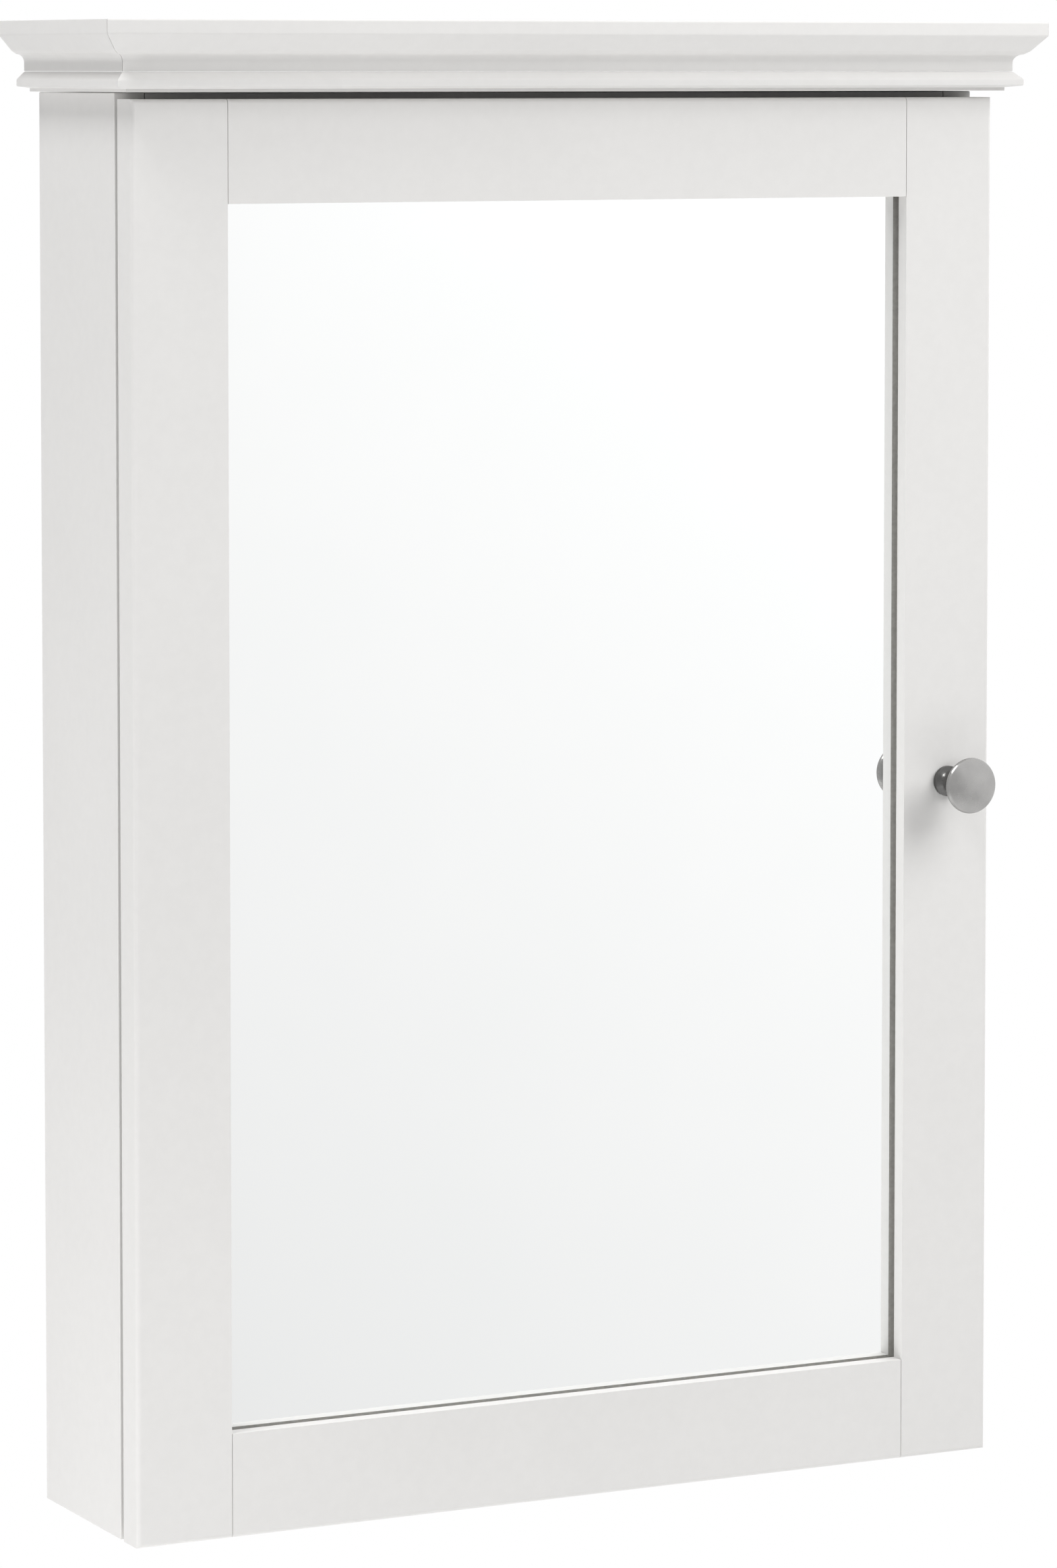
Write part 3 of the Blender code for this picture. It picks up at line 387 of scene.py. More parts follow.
def board(name, low, high, material, eases):
    """A board between two corners; eases lists (edges by face signs, width, segments)."""
    size = [b - a for a, b in zip(low, high)]
    centre = [(a + b) / 2 for a, b in zip(low, high)]
    bm = bmesh.new()
    bmesh.ops.create_cube(bm, size=1.0)
    bmesh.ops.scale(bm, vec=size, verts=bm.verts)
    for edge_sides, width, segments in eases:
        edges = [e for e in bm.edges if any(on_faces(e, size, s) for s in edge_sides)]
        bmesh.ops.bevel(bm, geom=edges, offset=width, segments=segments, profile=0.5,
                        affect="EDGES", clamp_overlap=True)
    bmesh.ops.translate(bm, vec=centre, verts=bm.verts)
    return solid(name, bm, material)


def cones(name, items, steps=32, material=None):
    """Closed cones, each (start, direction, radius at start, radius at end, length)."""
    bm = bmesh.new()
    for start, along, first, last, length in items:
        along = Vector(along).normalized()
        turn = Vector((0, 0, 1)).rotation_difference(along).to_matrix().to_4x4()
        place = Matrix.Translation(Vector(start) + along * length / 2) @ turn
        bmesh.ops.create_cone(bm, cap_ends=True, segments=steps, radius1=first,
                              radius2=last, depth=length, matrix=place)
    return solid(name, bm, material)


def rods(name, items, steps=32, material=None):
    """Closed cylinders, each (start, direction, radius, length)."""
    straight = [(start, along, r, r, length) for start, along, r, length in items]
    return cones(name, straight, steps, material)


def arc(centre, radius, start, end, steps):
    """Points on an arc, angles in degrees."""
    angles = [math.radians(start + (end - start) * i / steps) for i in range(steps + 1)]
    return [(centre[0] + radius * math.cos(a), centre[1] + radius * math.sin(a)) for a in angles]


def eased(points, radius, steps=4, closed=True):
    """A polygon with its corners rounded: points are (x, y) or (x, y, own radius)."""
    made = []
    count = len(points)
    for i, point in enumerate(points):
        own = point[2] if len(point) > 2 else radius
        here = Vector(point[:2])
        if own <= 0 or (not closed and i in (0, count - 1)):
            made.append(tuple(here))
            continue
        before = Vector(points[i - 1][:2]) - here
        after = Vector(points[(i + 1) % count][:2]) - here
        reach = min(own, before.length * 0.49, after.length * 0.49)
        start = here + before.normalized() * reach
        end = here + after.normalized() * reach
        for step in range(steps + 1):
            t = step / steps
            made.append(tuple(start * (1 - t) ** 2 + here * 2 * t * (1 - t) + end * t ** 2))
    return made


def loft(bm, rings):
    """Faces between closed rings of points, with flat ends."""
    rows = [[bm.verts.new(p) for p in ring] for ring in rings]
    count = len(rows[0])
    for lower, upper in zip(rows, rows[1:]):
        for i in range(count):
            j = (i + 1) % count
            bm.faces.new((lower[i], lower[j], upper[j], upper[i]))
    bm.faces.new(rows[0])
    bm.faces.new(rows[-1])


def turned(name, profile, place, along, material, steps=64):
    """A profile of (radius, height) spun round the axis through place along a direction."""
    bm = bmesh.new()
    rows = []
    for radius, height in profile:
        if radius < 1e-7:
            rows.append([bm.verts.new((0, 0, height))])
        else:
            rows.append([bm.verts.new((radius * math.cos(2 * math.pi * i / steps),
                                       radius * math.sin(2 * math.pi * i / steps), height))
                         for i in range(steps)])
    for upper, lower in zip(rows, rows[1:]):
        for i in range(steps):
            j = (i + 1) % steps
            ring = [upper[i % len(upper)], upper[j % len(upper)],
                    lower[j % len(lower)], lower[i % len(lower)]]
            bm.faces.new(list(dict.fromkeys(ring)))
    turn = Vector((0, 0, 1)).rotation_difference(Vector(along)).to_matrix().to_4x4()
    bmesh.ops.transform(bm, matrix=Matrix.Translation(place) @ turn, verts=bm.verts)
    return solid(name, bm, material)


def outline_solid(name, outline, low, high, material, to_world=None, ease=0.0, segments=2):
    """An outline in XY extruded from low to high, with eased rims."""
    bm = bmesh.new()
    verts = [bm.verts.new((x, y, low)) for x, y in outline]
    face = bm.faces.new(verts)
    made = bmesh.ops.extrude_face_region(bm, geom=[face])
    top = [v for v in made["geom"] if isinstance(v, bmesh.types.BMVert)]
    bmesh.ops.translate(bm, vec=(0, 0, high - low), verts=top)
    bmesh.ops.recalc_face_normals(bm, faces=bm.faces)
    if ease > 0:
        rims = [e for e in bm.edges if abs(e.verts[0].co.z - e.verts[1].co.z) < 1e-7]
        bmesh.ops.bevel(bm, geom=rims, offset=ease, segments=segments, profile=0.5,
                        affect="EDGES", clamp_overlap=True)
    if to_world is not None:
        bmesh.ops.transform(bm, matrix=to_world, verts=bm.verts)
    return solid(name, bm, material)


# ---- Carcass ----
def pin_holes():
    """Rows of three shelf-pin holes at each shelf corner, in both sides."""
    items = []
    sinks = []
    for level in LEVELS:
        shelf_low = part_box("shelf_" + level)[0].z
        for row in ("front", "back"):
            for side_name, side in SIDES.items():
                low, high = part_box(f"shelf_pin_{level}_{side_name}_{row}")
                face = INSIDE_LEFT if side < 0 else INSIDE_RIGHT
                for step in (-1, 0, 1):
                    at = Vector((face - side * PAST, (low.y + high.y) / 2,
                                 shelf_low - PIN_HOLE_R + step * PIN_STEP))
                    items.append((at, (side, 0, 0), PIN_HOLE_R, PIN_HOLE_DEPTH + PAST))
                    sinks.append((at + Vector((side * (PAST - SKIN), 0, 0)), (side, 0, 0),
                                  PIN_HOLE_R + PIN_SINK, PIN_HOLE_R, PIN_SINK))
    return rods("pin_holes", items), cones("pin_sinks", sinks)


def build_carcass():
    holes, sinks = pin_holes()
    for side_name, side in SIDES.items():
        low, high = CASE[side_name]
        panel = board(f"side_board_{side_name}", low, high, PAINT, SOFT)
        seat = board("seat", (BACK_BOX[0].x - CLOSE, BACK_BOX[0].y - CLOSE, low.z - PAST),
                     (BACK_BOX[1].x + CLOSE, PAST, high.z + PAST), PAINT, [])
        combine(panel, [holes, sinks], keep_tools=True)
        combine(panel, [seat])
        piece(shade(panel), "cabinet", "white_paint", "side_panel_" + side_name)
    bpy.data.objects.remove(holes, do_unlink=True)
    bpy.data.objects.remove(sinks, do_unlink=True)

    for name in ("top_panel", "bottom_panel"):
        low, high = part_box(name)
        panel = board(name.replace("panel", "board"), low, high, PAINT_ACROSS, SOFT)
        piece(shade(panel), "cabinet", "white_paint", name)

    rail_boxes = {name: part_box(name) for name in ("hanging_rail_upper", "hanging_rail_lower")}
    wall_holes = []
    sinks = []
    for low, high in rail_boxes.values():
        for x in (-WALL_HOLE_X, WALL_HOLE_X):
            z = (low.z + high.z) / 2
            wall_holes.append(((x, PAST, z), (0, -1, 0), WALL_HOLE_R, PAST - low.y + PAST))
            sinks.append(((x, low.y - SKIN, z), (0, 1, 0), 0.0048, WALL_HOLE_R, 0.0024))
    for name, (low, high) in rail_boxes.items():
        rail = board(name + "_board", low, high, PAINT_ACROSS, SOFT)
        combine(rail, [rods("wall_holes", wall_holes), cones("wall_sinks", sinks)])
        piece(shade(rail), "cabinet", "white_paint", name)
    back = board("back_sheet", *BACK_BOX, PAINT_INSIDE, THIN)
    combine(back, [rods("wall_holes", wall_holes)])
    back.data.materials.append(HARDBOARD)
    rear = back.data.materials.find(HARDBOARD.name)
    for face in back.data.polygons:
        if face.normal.y > 0.9:
            face.material_index = rear
    piece(shade(back), "cabinet", "white_paint", "back_panel")
    build_staples()


def staple(bm, centre, turn):
    """A crown staple pressed into the sheet, as a thin rounded bar."""
    half = 0.0048
    wire = 0.00045
    profile = arc((0, 0), wire, 0, 180, 8)
    rings = []
    for i in range(9):
        t = -1 + 2 * i / 8
        drop = wire * max(0.0, (abs(t) - 0.82) / 0.18) ** 2
        rings.append([Vector((t * half, x, z - drop)) for x, z in profile])
    place = Matrix.Translation(centre) @ Matrix.Rotation(math.radians(-90), 4, "X") \
        @ Matrix.Rotation(turn, 4, "Z")
    loft(bm, [[place @ p for p in ring] for ring in rings])


def build_staples():
    """Staples round the rim of the back sheet."""
    bm = bmesh.new()
    low, high = BACK_BOX
    inset = 0.004
    sunk = 0.0006
    for i in range(8):
        z = low.z + 0.03 + (high.z - low.z - 0.06) * i / 7
        for x in (low.x + inset, high.x - inset):
            staple(bm, (x, high.y - sunk, z), math.radians(90))
    for i in range(6):
        x = low.x + 0.045 + (high.x - low.x - 0.09) * i / 5
        for z in (low.z + 0.008, high.z - 0.008):
            staple(bm, (x, high.y - sunk, z), 0.0)
    made = solid("back_staples", bm, STEEL)
    piece(shade(made, 50, False), "cabinet", "plated_steel")


def build_shelves():
    for level in LEVELS:
        low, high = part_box("shelf_" + level)
        eases = [([(0, -1, 1), (0, -1, -1)], 0.0016, 4)]
        shelf = board(f"shelf_board_{level}", low, high, PAINT_ACROSS, eases)
        piece(shade(shelf), "cabinet", "white_paint", "shelf_" + level)
        for side_name, side in SIDES.items():
            for row in ("front", "back"):
                build_shelf_pin(f"shelf_pin_{level}_{side_name}_{row}", side, low.z)


def build_shelf_pin(node, side, shelf_low):
    """A plated peg with a collar, and a spoon-shaped rest under the shelf."""
    low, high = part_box(node)
    face = INSIDE_LEFT if side < 0 else INSIDE_RIGHT
    y = (low.y + high.y) / 2
    z = shelf_low - PIN_HOLE_R
    inner = low.x if side > 0 else high.x
    reach = abs(inner - face)
    collar_r = 0.0019
    peg_r = 0.0022
    tip = 0.0006
    peg_end = high.x - face if side > 0 else face - low.x
    profile = [(0.0, reach * 0.93), (0.0012, reach * 0.93), (0.0018, reach * 0.88)]
    profile += [(collar_r, 0.0012), (collar_r, 0.0009), (collar_r, CLOSE), (peg_r, -CLOSE)]
    profile += [(peg_r, -peg_end + tip), (peg_r - tip, -peg_end), (0.0, -peg_end)]
    peg = turned(node + "_peg", profile, (face, y, z), (-side, 0, 0), STEEL, 32)
    top = shelf_low - CLOSE
    rest_half, rest_t = 0.0030, 0.0018
    near = face - side * CLOSE
    rest_low = Vector((min(inner, near), y - rest_half, top - rest_t))
    rest_high = Vector((max(inner, near), y + rest_half, top))
    corners = [(-side, -1, 0), (-side, 1, 0)]
    rest = board(node + "_rest", rest_low, rest_high, STEEL,
                 [(corners, 0.0020, 5), ([(0, -1, -1), (0, 1, -1)], 0.0005, 2)])
    combine(peg, [rest], "UNION")
    piece(shade(peg, 40), "cabinet", "plated_steel", node)


# ---- Crown ----
CROWN_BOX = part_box("crown_front")
CROWN_FACE = DOOR_FRONT - CROWN_BOX[0].y
CROWN_BACK = DOOR_FRONT - CROWN_BOX[1].y
CROWN_TOP = CROWN_BOX[1].z - CASE_TOP
CROWN_LOW = CROWN_BOX[0].z - CASE_TOP


def crown_profile():
    """(overhang, height above the carcass): neck, cove, bevel and fillet, arrises eased."""
    neck = 0.0077
    cove_r = 0.0042
    cove_z = 0.0145
    cove = [(*p, 0) for p in arc((neck + cove_r, cove_z), cove_r, 180, 90, 12)]
    points = [(CROWN_BACK, CROWN_LOW, 0), (neck, CROWN_LOW, 0.0003)] + cove
    points += [(0.0143, 0.0203, 0.0005), (CROWN_FACE, 0.0280, 0.0007)]
    points += [(CROWN_FACE, CROWN_TOP, 0.0009), (CROWN_BACK, CROWN_TOP, 0.0004)]
    return eased(points, 0.0005, 5)


def moulding(name, node, turn, ends, material):
    """A run of crown along local Z, mitred where an end's slope is 1 or -1."""
    profile = crown_profile()
    bm = bmesh.new()
    rings = []
    for share in (0.0, 0.02, 0.25, 0.5, 0.75, 0.98, 1.0):
        ring = []
        for x, y in profile:
            start = ends[0][0] + ends[0][1] * x
            end = ends[1][0] + ends[1][1] * x
            ring.append((x, y, start + (end - start) * share))
        rings.append(ring)
    loft(bm, rings)
    bmesh.ops.transform(bm, matrix=turn, verts=bm.verts)
    piece(shade(solid(name, bm, material), 34), "cabinet", "white_paint", node)


def axes_matrix(x_to, y_to, z_to, origin):
    matrix = Matrix((x_to, y_to, z_to)).transposed().to_4x4()
    matrix.translation = origin
    return matrix


def build_crown():
    gap = 0.00012
    up = Vector((0, 0, 1))
    out = Vector((0, -1, 0))
    turn = axes_matrix(out, up, out.cross(up), (0, DOOR_FRONT, CASE_TOP))
    moulding("crown_run_front", "crown_front", turn,
             ((CASE_LEFT + gap, -1), (CASE_RIGHT - gap, 1)), PAINT_ACROSS)
    for side_name, side in SIDES.items():
        out = Vector((side, 0, 0))
        along = out.cross(up)
        turn = axes_matrix(out, up, along, (CASE_RIGHT if side > 0 else CASE_LEFT, 0, CASE_TOP))
        mitred = DOOR_FRONT + gap
        ends = ((mitred, -1), (0.0, 0)) if along.y > 0 else ((0.0, 0), (-mitred, 1))
        moulding("crown_run_" + side_name, "crown_" + side_name, turn, ends, PAINT)
        build_corner_block(side_name, side)
    build_ledge()


def build_ledge():
    """The ledge board under the crown: a small square edge and a bevel up to the neck."""
    low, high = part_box("ledge_board")
    reach = high.x - CASE_RIGHT
    top = high.z - CASE_TOP
    start = low.z - CASE_TOP
    outline = eased([(0.0047, start, 0), (0.0047, 0.0020, 0.0002), (reach, 0.0029, 0.0007),
                     (reach, 0.0062, 0.0008), (0.0080, top - 0.0003, 0.0004), (0.0074, top, 0)],
                    0.0005, 5, closed=False)
    bm = bmesh.new()
    rings = []
    for overhang, height in outline:
        x = CASE_RIGHT + overhang
        y = DOOR_FRONT - overhang
        z = CASE_TOP + height
        rings.append([(-x, 0, z), (-x, y, z), (x, y, z), (x, 0, z)])
    loft(bm, rings)
    ledge = solid("ledge_run", bm, PAINT_ACROSS)
    piece(shade(ledge, 34), "cabinet", "white_paint", "ledge_board")


def build_corner_block(side_name, side):
    node = "crown_block_" + side_name
    low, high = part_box(node)
    near = low.y
    far = high.y
    outer = high.x if side > 0 else low.x
    inner = low.x if side > 0 else high.x
    outline = eased([(outer, near), (inner, near), (outer, far)], 0.0006, 2)
    block = outline_solid(node + "_wood", outline, low.z, high.z, PINE, ease=0.0004)
    piece(shade(block), "cabinet", "bare_pine", node)


# ---- Door ----
def rebate():
    """The rebate for mirror and backing, cut from behind; its faces are bare board, greyer than the
    paint, which paints shade along the mirror's edges.
    """
    low = (MIRROR_BOX[0].x - PANE_GAP, MIRROR_BOX[0].y - CLOSE, MIRROR_BOX[0].z - PANE_GAP)
    high = (MIRROR_BOX[1].x + PANE_GAP, DOOR_BACK + PAST, MIRROR_BOX[1].z + PANE_GAP)
    return board("rebate", low, high, FIBREBOARD_AND_SHADE, [])


def build_frame():
    """Stiles and rails with rounded outer edges and a fine groove at each joint."""
    for side_name, side in SIDES.items():
        low, high = STILE[side_name]
        outer = [(side, -1, 0), (0, -1, 1), (0, -1, -1)]
        inner = [(-side, -1, 0)]
        stile = board("stile_" + side_name, low, high, PAINT,
                      [(outer, DOOR_ROUND, 6), (inner, GROOVE_EASE, 3), (rims(1, 1), PAINT_EASE, 2)])
        tools = [rebate()]
        if side < 0:
            tools += hinge_bores()
        combine(stile, tools)
        piece(shade(stile), "door", "white_paint", "door_stile_" + side_name)
    for name, outer_sign in (("top", 1), ("bottom", -1)):
        low, high = RAIL[name]
        outer = [(0, -1, outer_sign)]
        inner = [(0, -1, -outer_sign), (-1, -1, 0), (1, -1, 0)]
        rear = [(0, 1, 1), (0, 1, -1)]
        rail = board("rail_" + name, low, high, PAINT_ACROSS,
                     [(outer, DOOR_ROUND, 6), (inner, GROOVE_EASE, 3), (rear, PAINT_EASE, 2)])
        combine(rail, [rebate()])
        piece(shade(rail), "door", "white_paint", "door_rail_" + name)


def cup_height(level):
    low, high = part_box("hinge_cup_" + level)
    return (low.z + high.z) / 2


def hinge_bores():
    """Bores for the hinge cups in the back of the left stile."""
    items = []
    for level in LEVELS:
        at = (CASE_LEFT + CUP_EDGE, DOOR_BACK + PAST, cup_height(level))
        items.append((at, (0, -1, 0), CUP_BORE_R, CUP_DEPTH + CLOSE + PAST))
    return [rods("cup_bores", items, 64, FIBREBOARD_AND_SHADE)]


def build_mirror():
    """The pane: ground rim, and the silvering a little way behind the lip."""
    low, high = MIRROR_BOX
    front = low.y + SILVER_DEPTH
    pane = board("mirror_pane", (low.x, front, low.z), (high.x, high.y, high.z), SILVER,
                 [(rims(1, -1), 0.0005, 2)])
    piece(shade(pane), "door", "mirror", "mirror")
    low, high = BACKING_BOX
    backing = board("backing_sheet", low, high, HARDBOARD, THIN)
    piece(shade(backing), "door", "hardboard", "mirror_backing")


def build_knob():
    """The turned knob: flared base, waisted neck, and a head with a soft rim."""
    face = DOOR_FRONT - KNOB_BOX[0].y
    head_r = KNOB_BOX[1].x - KNOB_PLACE.x
    head_z = face - 0.0048
    rim_r = 0.0022
    rim = arc((head_r - rim_r, face - 0.0044), rim_r, 66, -60, 18)
    crest_end = rim[0]
    crest = [(crest_end[0] * s, face - (face - crest_end[1]) * s ** 2.4)
             for s in (0.0, 0.12, 0.25, 0.38, 0.5, 0.62, 0.74, 0.85, 0.94)]
    under = [(0.0112, head_z - 0.0036), (0.0090, head_z - 0.0060), (0.0070, head_z - 0.0086)]
    neck = [(0.0056, head_z - 0.0112), (0.0049, head_z - 0.0136), (0.0048, 0.0074),
            (0.0051, 0.0056), (0.0060, 0.0042), (0.0074, 0.0033)]
    foot = [(0.0078, 0.0029), (0.0078, 0.0006), (0.0076, CLOSE), (0.0023, CLOSE)]
    socket = [(0.0023, 0.0120), (0.0, 0.0120)]
    profile = crest + rim + under + neck + foot + socket
    knob = turned("knob_body", profile, KNOB_PLACE, (0, -1, 0), NICKEL, 128)
    piece(shade(knob, 30, False), "door", "satin_nickel", "knob")

    low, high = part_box("knob_screw")
    place = Vector((KNOB_PLACE.x, DOOR_BACK, KNOB_PLACE.z))
    head_r = high.x - place.x
    shank = DOOR_BACK - low.y
    profile = [(0.0, 0.0026), (0.0016, 0.0025), (0.0028, 0.0021), (0.0036, 0.0014),
               (head_r, 0.0007), (head_r, CLOSE), (0.0020, CLOSE), (0.0020, -shank), (0.0, -shank)]
    screw = turned("knob_screw_body", profile, place, (0, 1, 0), STEEL, 48)
    combine(screw, [cross_slot(place + Vector((0, 0.0026, 0)), (0, -1, 0), 0.0040, 0.0007, 0.0016)])
    piece(shade(screw, 35), "door", "plated_steel", "knob_screw")


def cross_slot(place, inwards, width, bar, depth):
    """A cutter for a cross recess, driven in from place."""
    near = bar / 2
    far = width / 2
    outline = [(near, near), (near, far), (-near, far), (-near, near), (-far, near),
               (-far, -near), (-near, -near), (-near, -far), (near, -far), (near, -near),
               (far, -near), (far, near)]
    spin = Vector((0, 0, 1)).rotation_difference(Vector(inwards).normalized())
    stand = Matrix.Translation(place) @ spin.to_matrix().to_4x4()
    # the cutter's dark steel paints shade on the walls of the cross recess
    return outline_solid("cross_slot", outline, -depth, depth, STEEL_DARK, stand)


def build_bumpers():
    for level in LEVELS:
        node = "door_bumper_" + level
        low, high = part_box(node)
        radius = (high.x - low.x) / 2
        tall = high.y - low.y
        place = Vector(((low.x + high.x) / 2, high.y, (low.z + high.z) / 2))
        profile = [(radius * math.sin(math.radians(a)), tall * (0.35 + 0.65 * math.cos(math.radians(a))))
                   for a in range(0, 91, 9)]
        profile += [(radius, 0.0), (0.0, 0.0)]
        dome = turned(node + "_dome", profile, place, (0, -1, 0), BUMPER, 48)
        piece(shade(dome, 40), "cabinet", "soft_plastic", node)


# ---- Concealed hinges ----
# In plan: (in from the carcass's left face, back from its front edges)
CUP_INNER = (0.0163, -0.0075)
OUTER_BENDS = ((0.0192, 0.0036), (0.0175, -0.0030))
INNER_BENDS = ((0.0230, -0.0113),)
ARM_OUTLINE = ((0.0368, 0.0030), (0.0416, 0.0120), (0.0416, 0.0290), (0.0335, 0.0410),
               (0.0335, 0.0700), (0.0200, 0.0700), (0.0200, 0.0290), (0.0260, 0.0160),
               (0.0320, 0.0050))
ARM_HOLLOW = ((0.0050, -0.0200), (0.0500, -0.0200), (0.0500, 0.0251), (0.0404, 0.0251),
              (0.0404, 0.0286), (0.0323, 0.0406), (0.0323, 0.0800), (0.0050, 0.0800))
ARM_SCREW_Y = 0.0560
PLATE_SCREW_Y = 0.0370
BLADE_Z = (0.0034, 0.0053)      # layers of the hinge, half heights
INNER_Z = 0.0028
ARM_Z = (0.0058, 0.0068)
POCKET_Z = 0.0074
CHEEK_Z = 0.0085
PIVOT_R = 0.0013
EYE_BORE_R = 0.0016
OUTER_EYE_R = 0.0024
INNER_EYE_R = 0.0026
EAR_R = 0.0022
OUTER_HALF_W = 0.0017           # half widths of the links' blades
INNER_HALF_W = 0.0016
PROUD = 0.0001                  # how far eyes stand out of the blades
SCREW_HOLE_R = 0.0019
FLANGE_T = 0.0008
# Screws: head radius, head height, shank radius, shank length, point length
CUP_SCREW = (0.0031, 0.0013, 0.0015, 0.0105, 0.0020)
PLATE_SCREW = (0.0035, 0.0016, 0.0015, 0.0105, 0.0020)
ARM_SCREW = (0.0040, 0.0019, 0.0019, 0.0090, 0.0)


def plan(point, z):
    return Vector((CASE_LEFT + point[0], CASE_FRONT + point[1], z))


def in_plan(place):
    return (place.x - CASE_LEFT, place.y - CASE_FRONT)


ARM_OUTER = in_plan(JOINT_PLACE["outer_link_swing"])
ARM_INNER = in_plan(JOINT_PLACE["inner_link_swing"])
CUP_OUTER = in_plan(JOINT_PLACE["door_swing"])


def plan_solid(name, outline, low, high, z, ease, segments=2):
    """An outline in plan as a plate between two heights about z, with eased rims."""
    move = Matrix.Translation(plan((0, 0), z))
    return outline_solid(name, outline, low, high, STEEL, move, ease, segments)


def strip_outline(points, half_width, ease=0.0020, end_steps=16):
    """A bent strip of even width with round ends and eased bends."""
    path = [Vector(p) for p in eased([(*p, ease) for p in points], ease, 8, closed=False)]
    left = []
    right = []
    for i, here in enumerate(path):
        ahead = path[min(i + 1, len(path) - 1)] - path[max(i - 1, 0)]
        aside = Vector((-ahead.y, ahead.x)).normalized() * half_width
        left.append(here + aside)
        right.append(here - aside)
    start = math.degrees(math.atan2(*(right[0] - path[0]).yx))
    end = math.degrees(math.atan2(*(left[-1] - path[-1]).yx))
    cap_start = arc(path[0], half_width, start, start - 180, end_steps)[1:-1]
    cap_end = arc(path[-1], half_width, end, end - 180, end_steps)[1:-1]
    return ([tuple(p) for p in left] + cap_end + [tuple(p) for p in reversed(right)]
            + cap_start)


def pivot(name, point, z, reach):
    """A pivot pin with softly domed ends."""
    tip = 0.0004
    profile = [(0.0, reach), (PIVOT_R * 0.6, reach - tip * 0.25), (PIVOT_R, reach - tip),
               (PIVOT_R, -reach + tip), (PIVOT_R * 0.6, -reach + tip * 0.25), (0.0, -reach)]
    return turned(name, profile, plan(point, z), (0, 0, 1), STEEL_DARK, 32)


def eye(name, point, radius, low, high, z):
    ease = 0.0002
    place = plan(point, z)
    profile = [(0.0, high), (radius - ease, high), (radius, high - ease),
               (radius, low + ease), (radius - ease, low), (0.0, low)]
    return turned(name, profile, place, (0, 0, 1), STEEL_BRIGHT, 40)


def bore(name, point, z, half):
    # the bore's dark steel paints shade inside the eye
    return rods(name, [(plan(point, z - half), (0, 0, 1), EYE_BORE_R, 2 * half)], 32, STEEL_DARK)


def screw_body(node, body, along, head_r, head_h, shank_r, length, point):
    """A pan-head screw with a cross recess and a coarse thread on its shank."""
    low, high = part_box(node)
    middle = (low + high) / 2
    along = Vector(along)
    seat = Vector(tuple(high[i] - head_h if along[i] > 0.5 else middle[i] for i in range(3)))
    profile = [(0.0, head_h), (head_r * 0.30, head_h * 0.99), (head_r * 0.57, head_h * 0.93),
               (head_r * 0.80, head_h * 0.72), (head_r * 0.94, head_h * 0.42),
               (head_r, head_h * 0.16), (head_r, 0.0), (shank_r, 0.0)]
    turns = int(length / 0.0011)
    for i in range(turns):
        start = -0.0008 - (length - 0.0010) * i / turns
        step = (length - 0.0010) / turns
        profile += [(shank_r * 0.78, start - step * 0.30), (shank_r, start - step * 0.52),
                    (shank_r * 0.78, start - step * 0.74)]
    profile += [(shank_r * 0.78, -length), (0.0, -length - point)]
    screw = turned(node + "_body", profile, seat, along, STEEL_BRIGHT, 40)
    slot = cross_slot(seat + along * (head_h + 0.0002), -along, head_r * 1.15,
                      head_r * 0.20, head_h * 0.62)
    combine(screw, [slot])
    piece(shade(screw, 35), body, "plated_steel", node)


def drill_eyes(link, points, z, half):
    combine(link, [bore(f"bore_{i}", p, z, 2 * half) for i, p in enumerate(points)])


def build_outer_link(level, z):
    near, far = BLADE_Z
    outline = strip_outline((ARM_OUTER, *OUTER_BENDS, CUP_OUTER), OUTER_HALF_W)
    link = plan_solid("blade_upper", outline, near, far, z, 0.00025)
    others = [plan_solid("blade_lower", outline, -far, -near, z, 0.00025),
              eye("sleeve", ARM_OUTER, OUTER_EYE_R, -far - PROUD, far + PROUD, z),
              eye("eye_upper", CUP_OUTER, OUTER_EYE_R, near - PROUD, far + PROUD, z),
              eye("eye_lower", CUP_OUTER, OUTER_EYE_R, -far - PROUD, -near + PROUD, z)]
    combine(link, others, "UNION")
    drill_eyes(link, (ARM_OUTER, CUP_OUTER), z, far)
    link.name = f"outer_link_{level}_blades"
    piece(shade(link, 36), "outer_links", "plated_steel", "outer_link_" + level)


def build_inner_link(level, z):
    ends = (ARM_INNER, CUP_INNER)
    outline = strip_outline((ARM_INNER, *INNER_BENDS, CUP_INNER), INNER_HALF_W)
    link = plan_solid("blade", outline, -INNER_Z, INNER_Z, z, 0.0003)
    combine(link, [eye(f"eye_{i}", p, INNER_EYE_R, -INNER_Z - PROUD, INNER_Z + PROUD, z)
                   for i, p in enumerate(ends)], "UNION")
    drill_eyes(link, ends, z, INNER_Z)
    along = Vector(CUP_INNER) - Vector(ARM_INNER)
    turn = math.atan2(along.y, along.x)
    offset = Vector((0.0020, 0.0026))
    offset.rotate(Matrix.Rotation(turn, 2))
    # the mouth's dark steel paints shade in the notch
    mouth = board("mouth", (-0.0040, -0.0030, -2 * INNER_Z), (0.0040, 0.0030, 2 * INNER_Z),
                  STEEL_DARK, [([(-1, -1, 0), (-1, 1, 0)], 0.0004, 3)])
    mouth.matrix_world = Matrix.Translation(plan(Vector(CUP_INNER) + offset, z)) \
        @ Matrix.Rotation(turn, 4, "Z")
    combine(link, [mouth])
    link.name = f"inner_link_{level}_blade"
    piece(shade(link, 36), "inner_links", "plated_steel", "inner_link_" + level)


def flange_outline(radius, screws, tab_r, steps=240):
    """A disc with a round tab over each screw, as seen from behind."""
    outline = []
    for i in range(steps):
        angle = 2 * math.pi * i / steps
        out = Vector((math.cos(angle), math.sin(angle)))
        reach = radius
        for centre in screws:
            near = centre.dot(out)
            aside = centre.length_squared - near ** 2
            if near > 0 and aside < tab_r ** 2:
                reach = max(reach, near + math.sqrt(tab_r ** 2 - aside))
        outline.append(tuple(out * reach))
    return outline


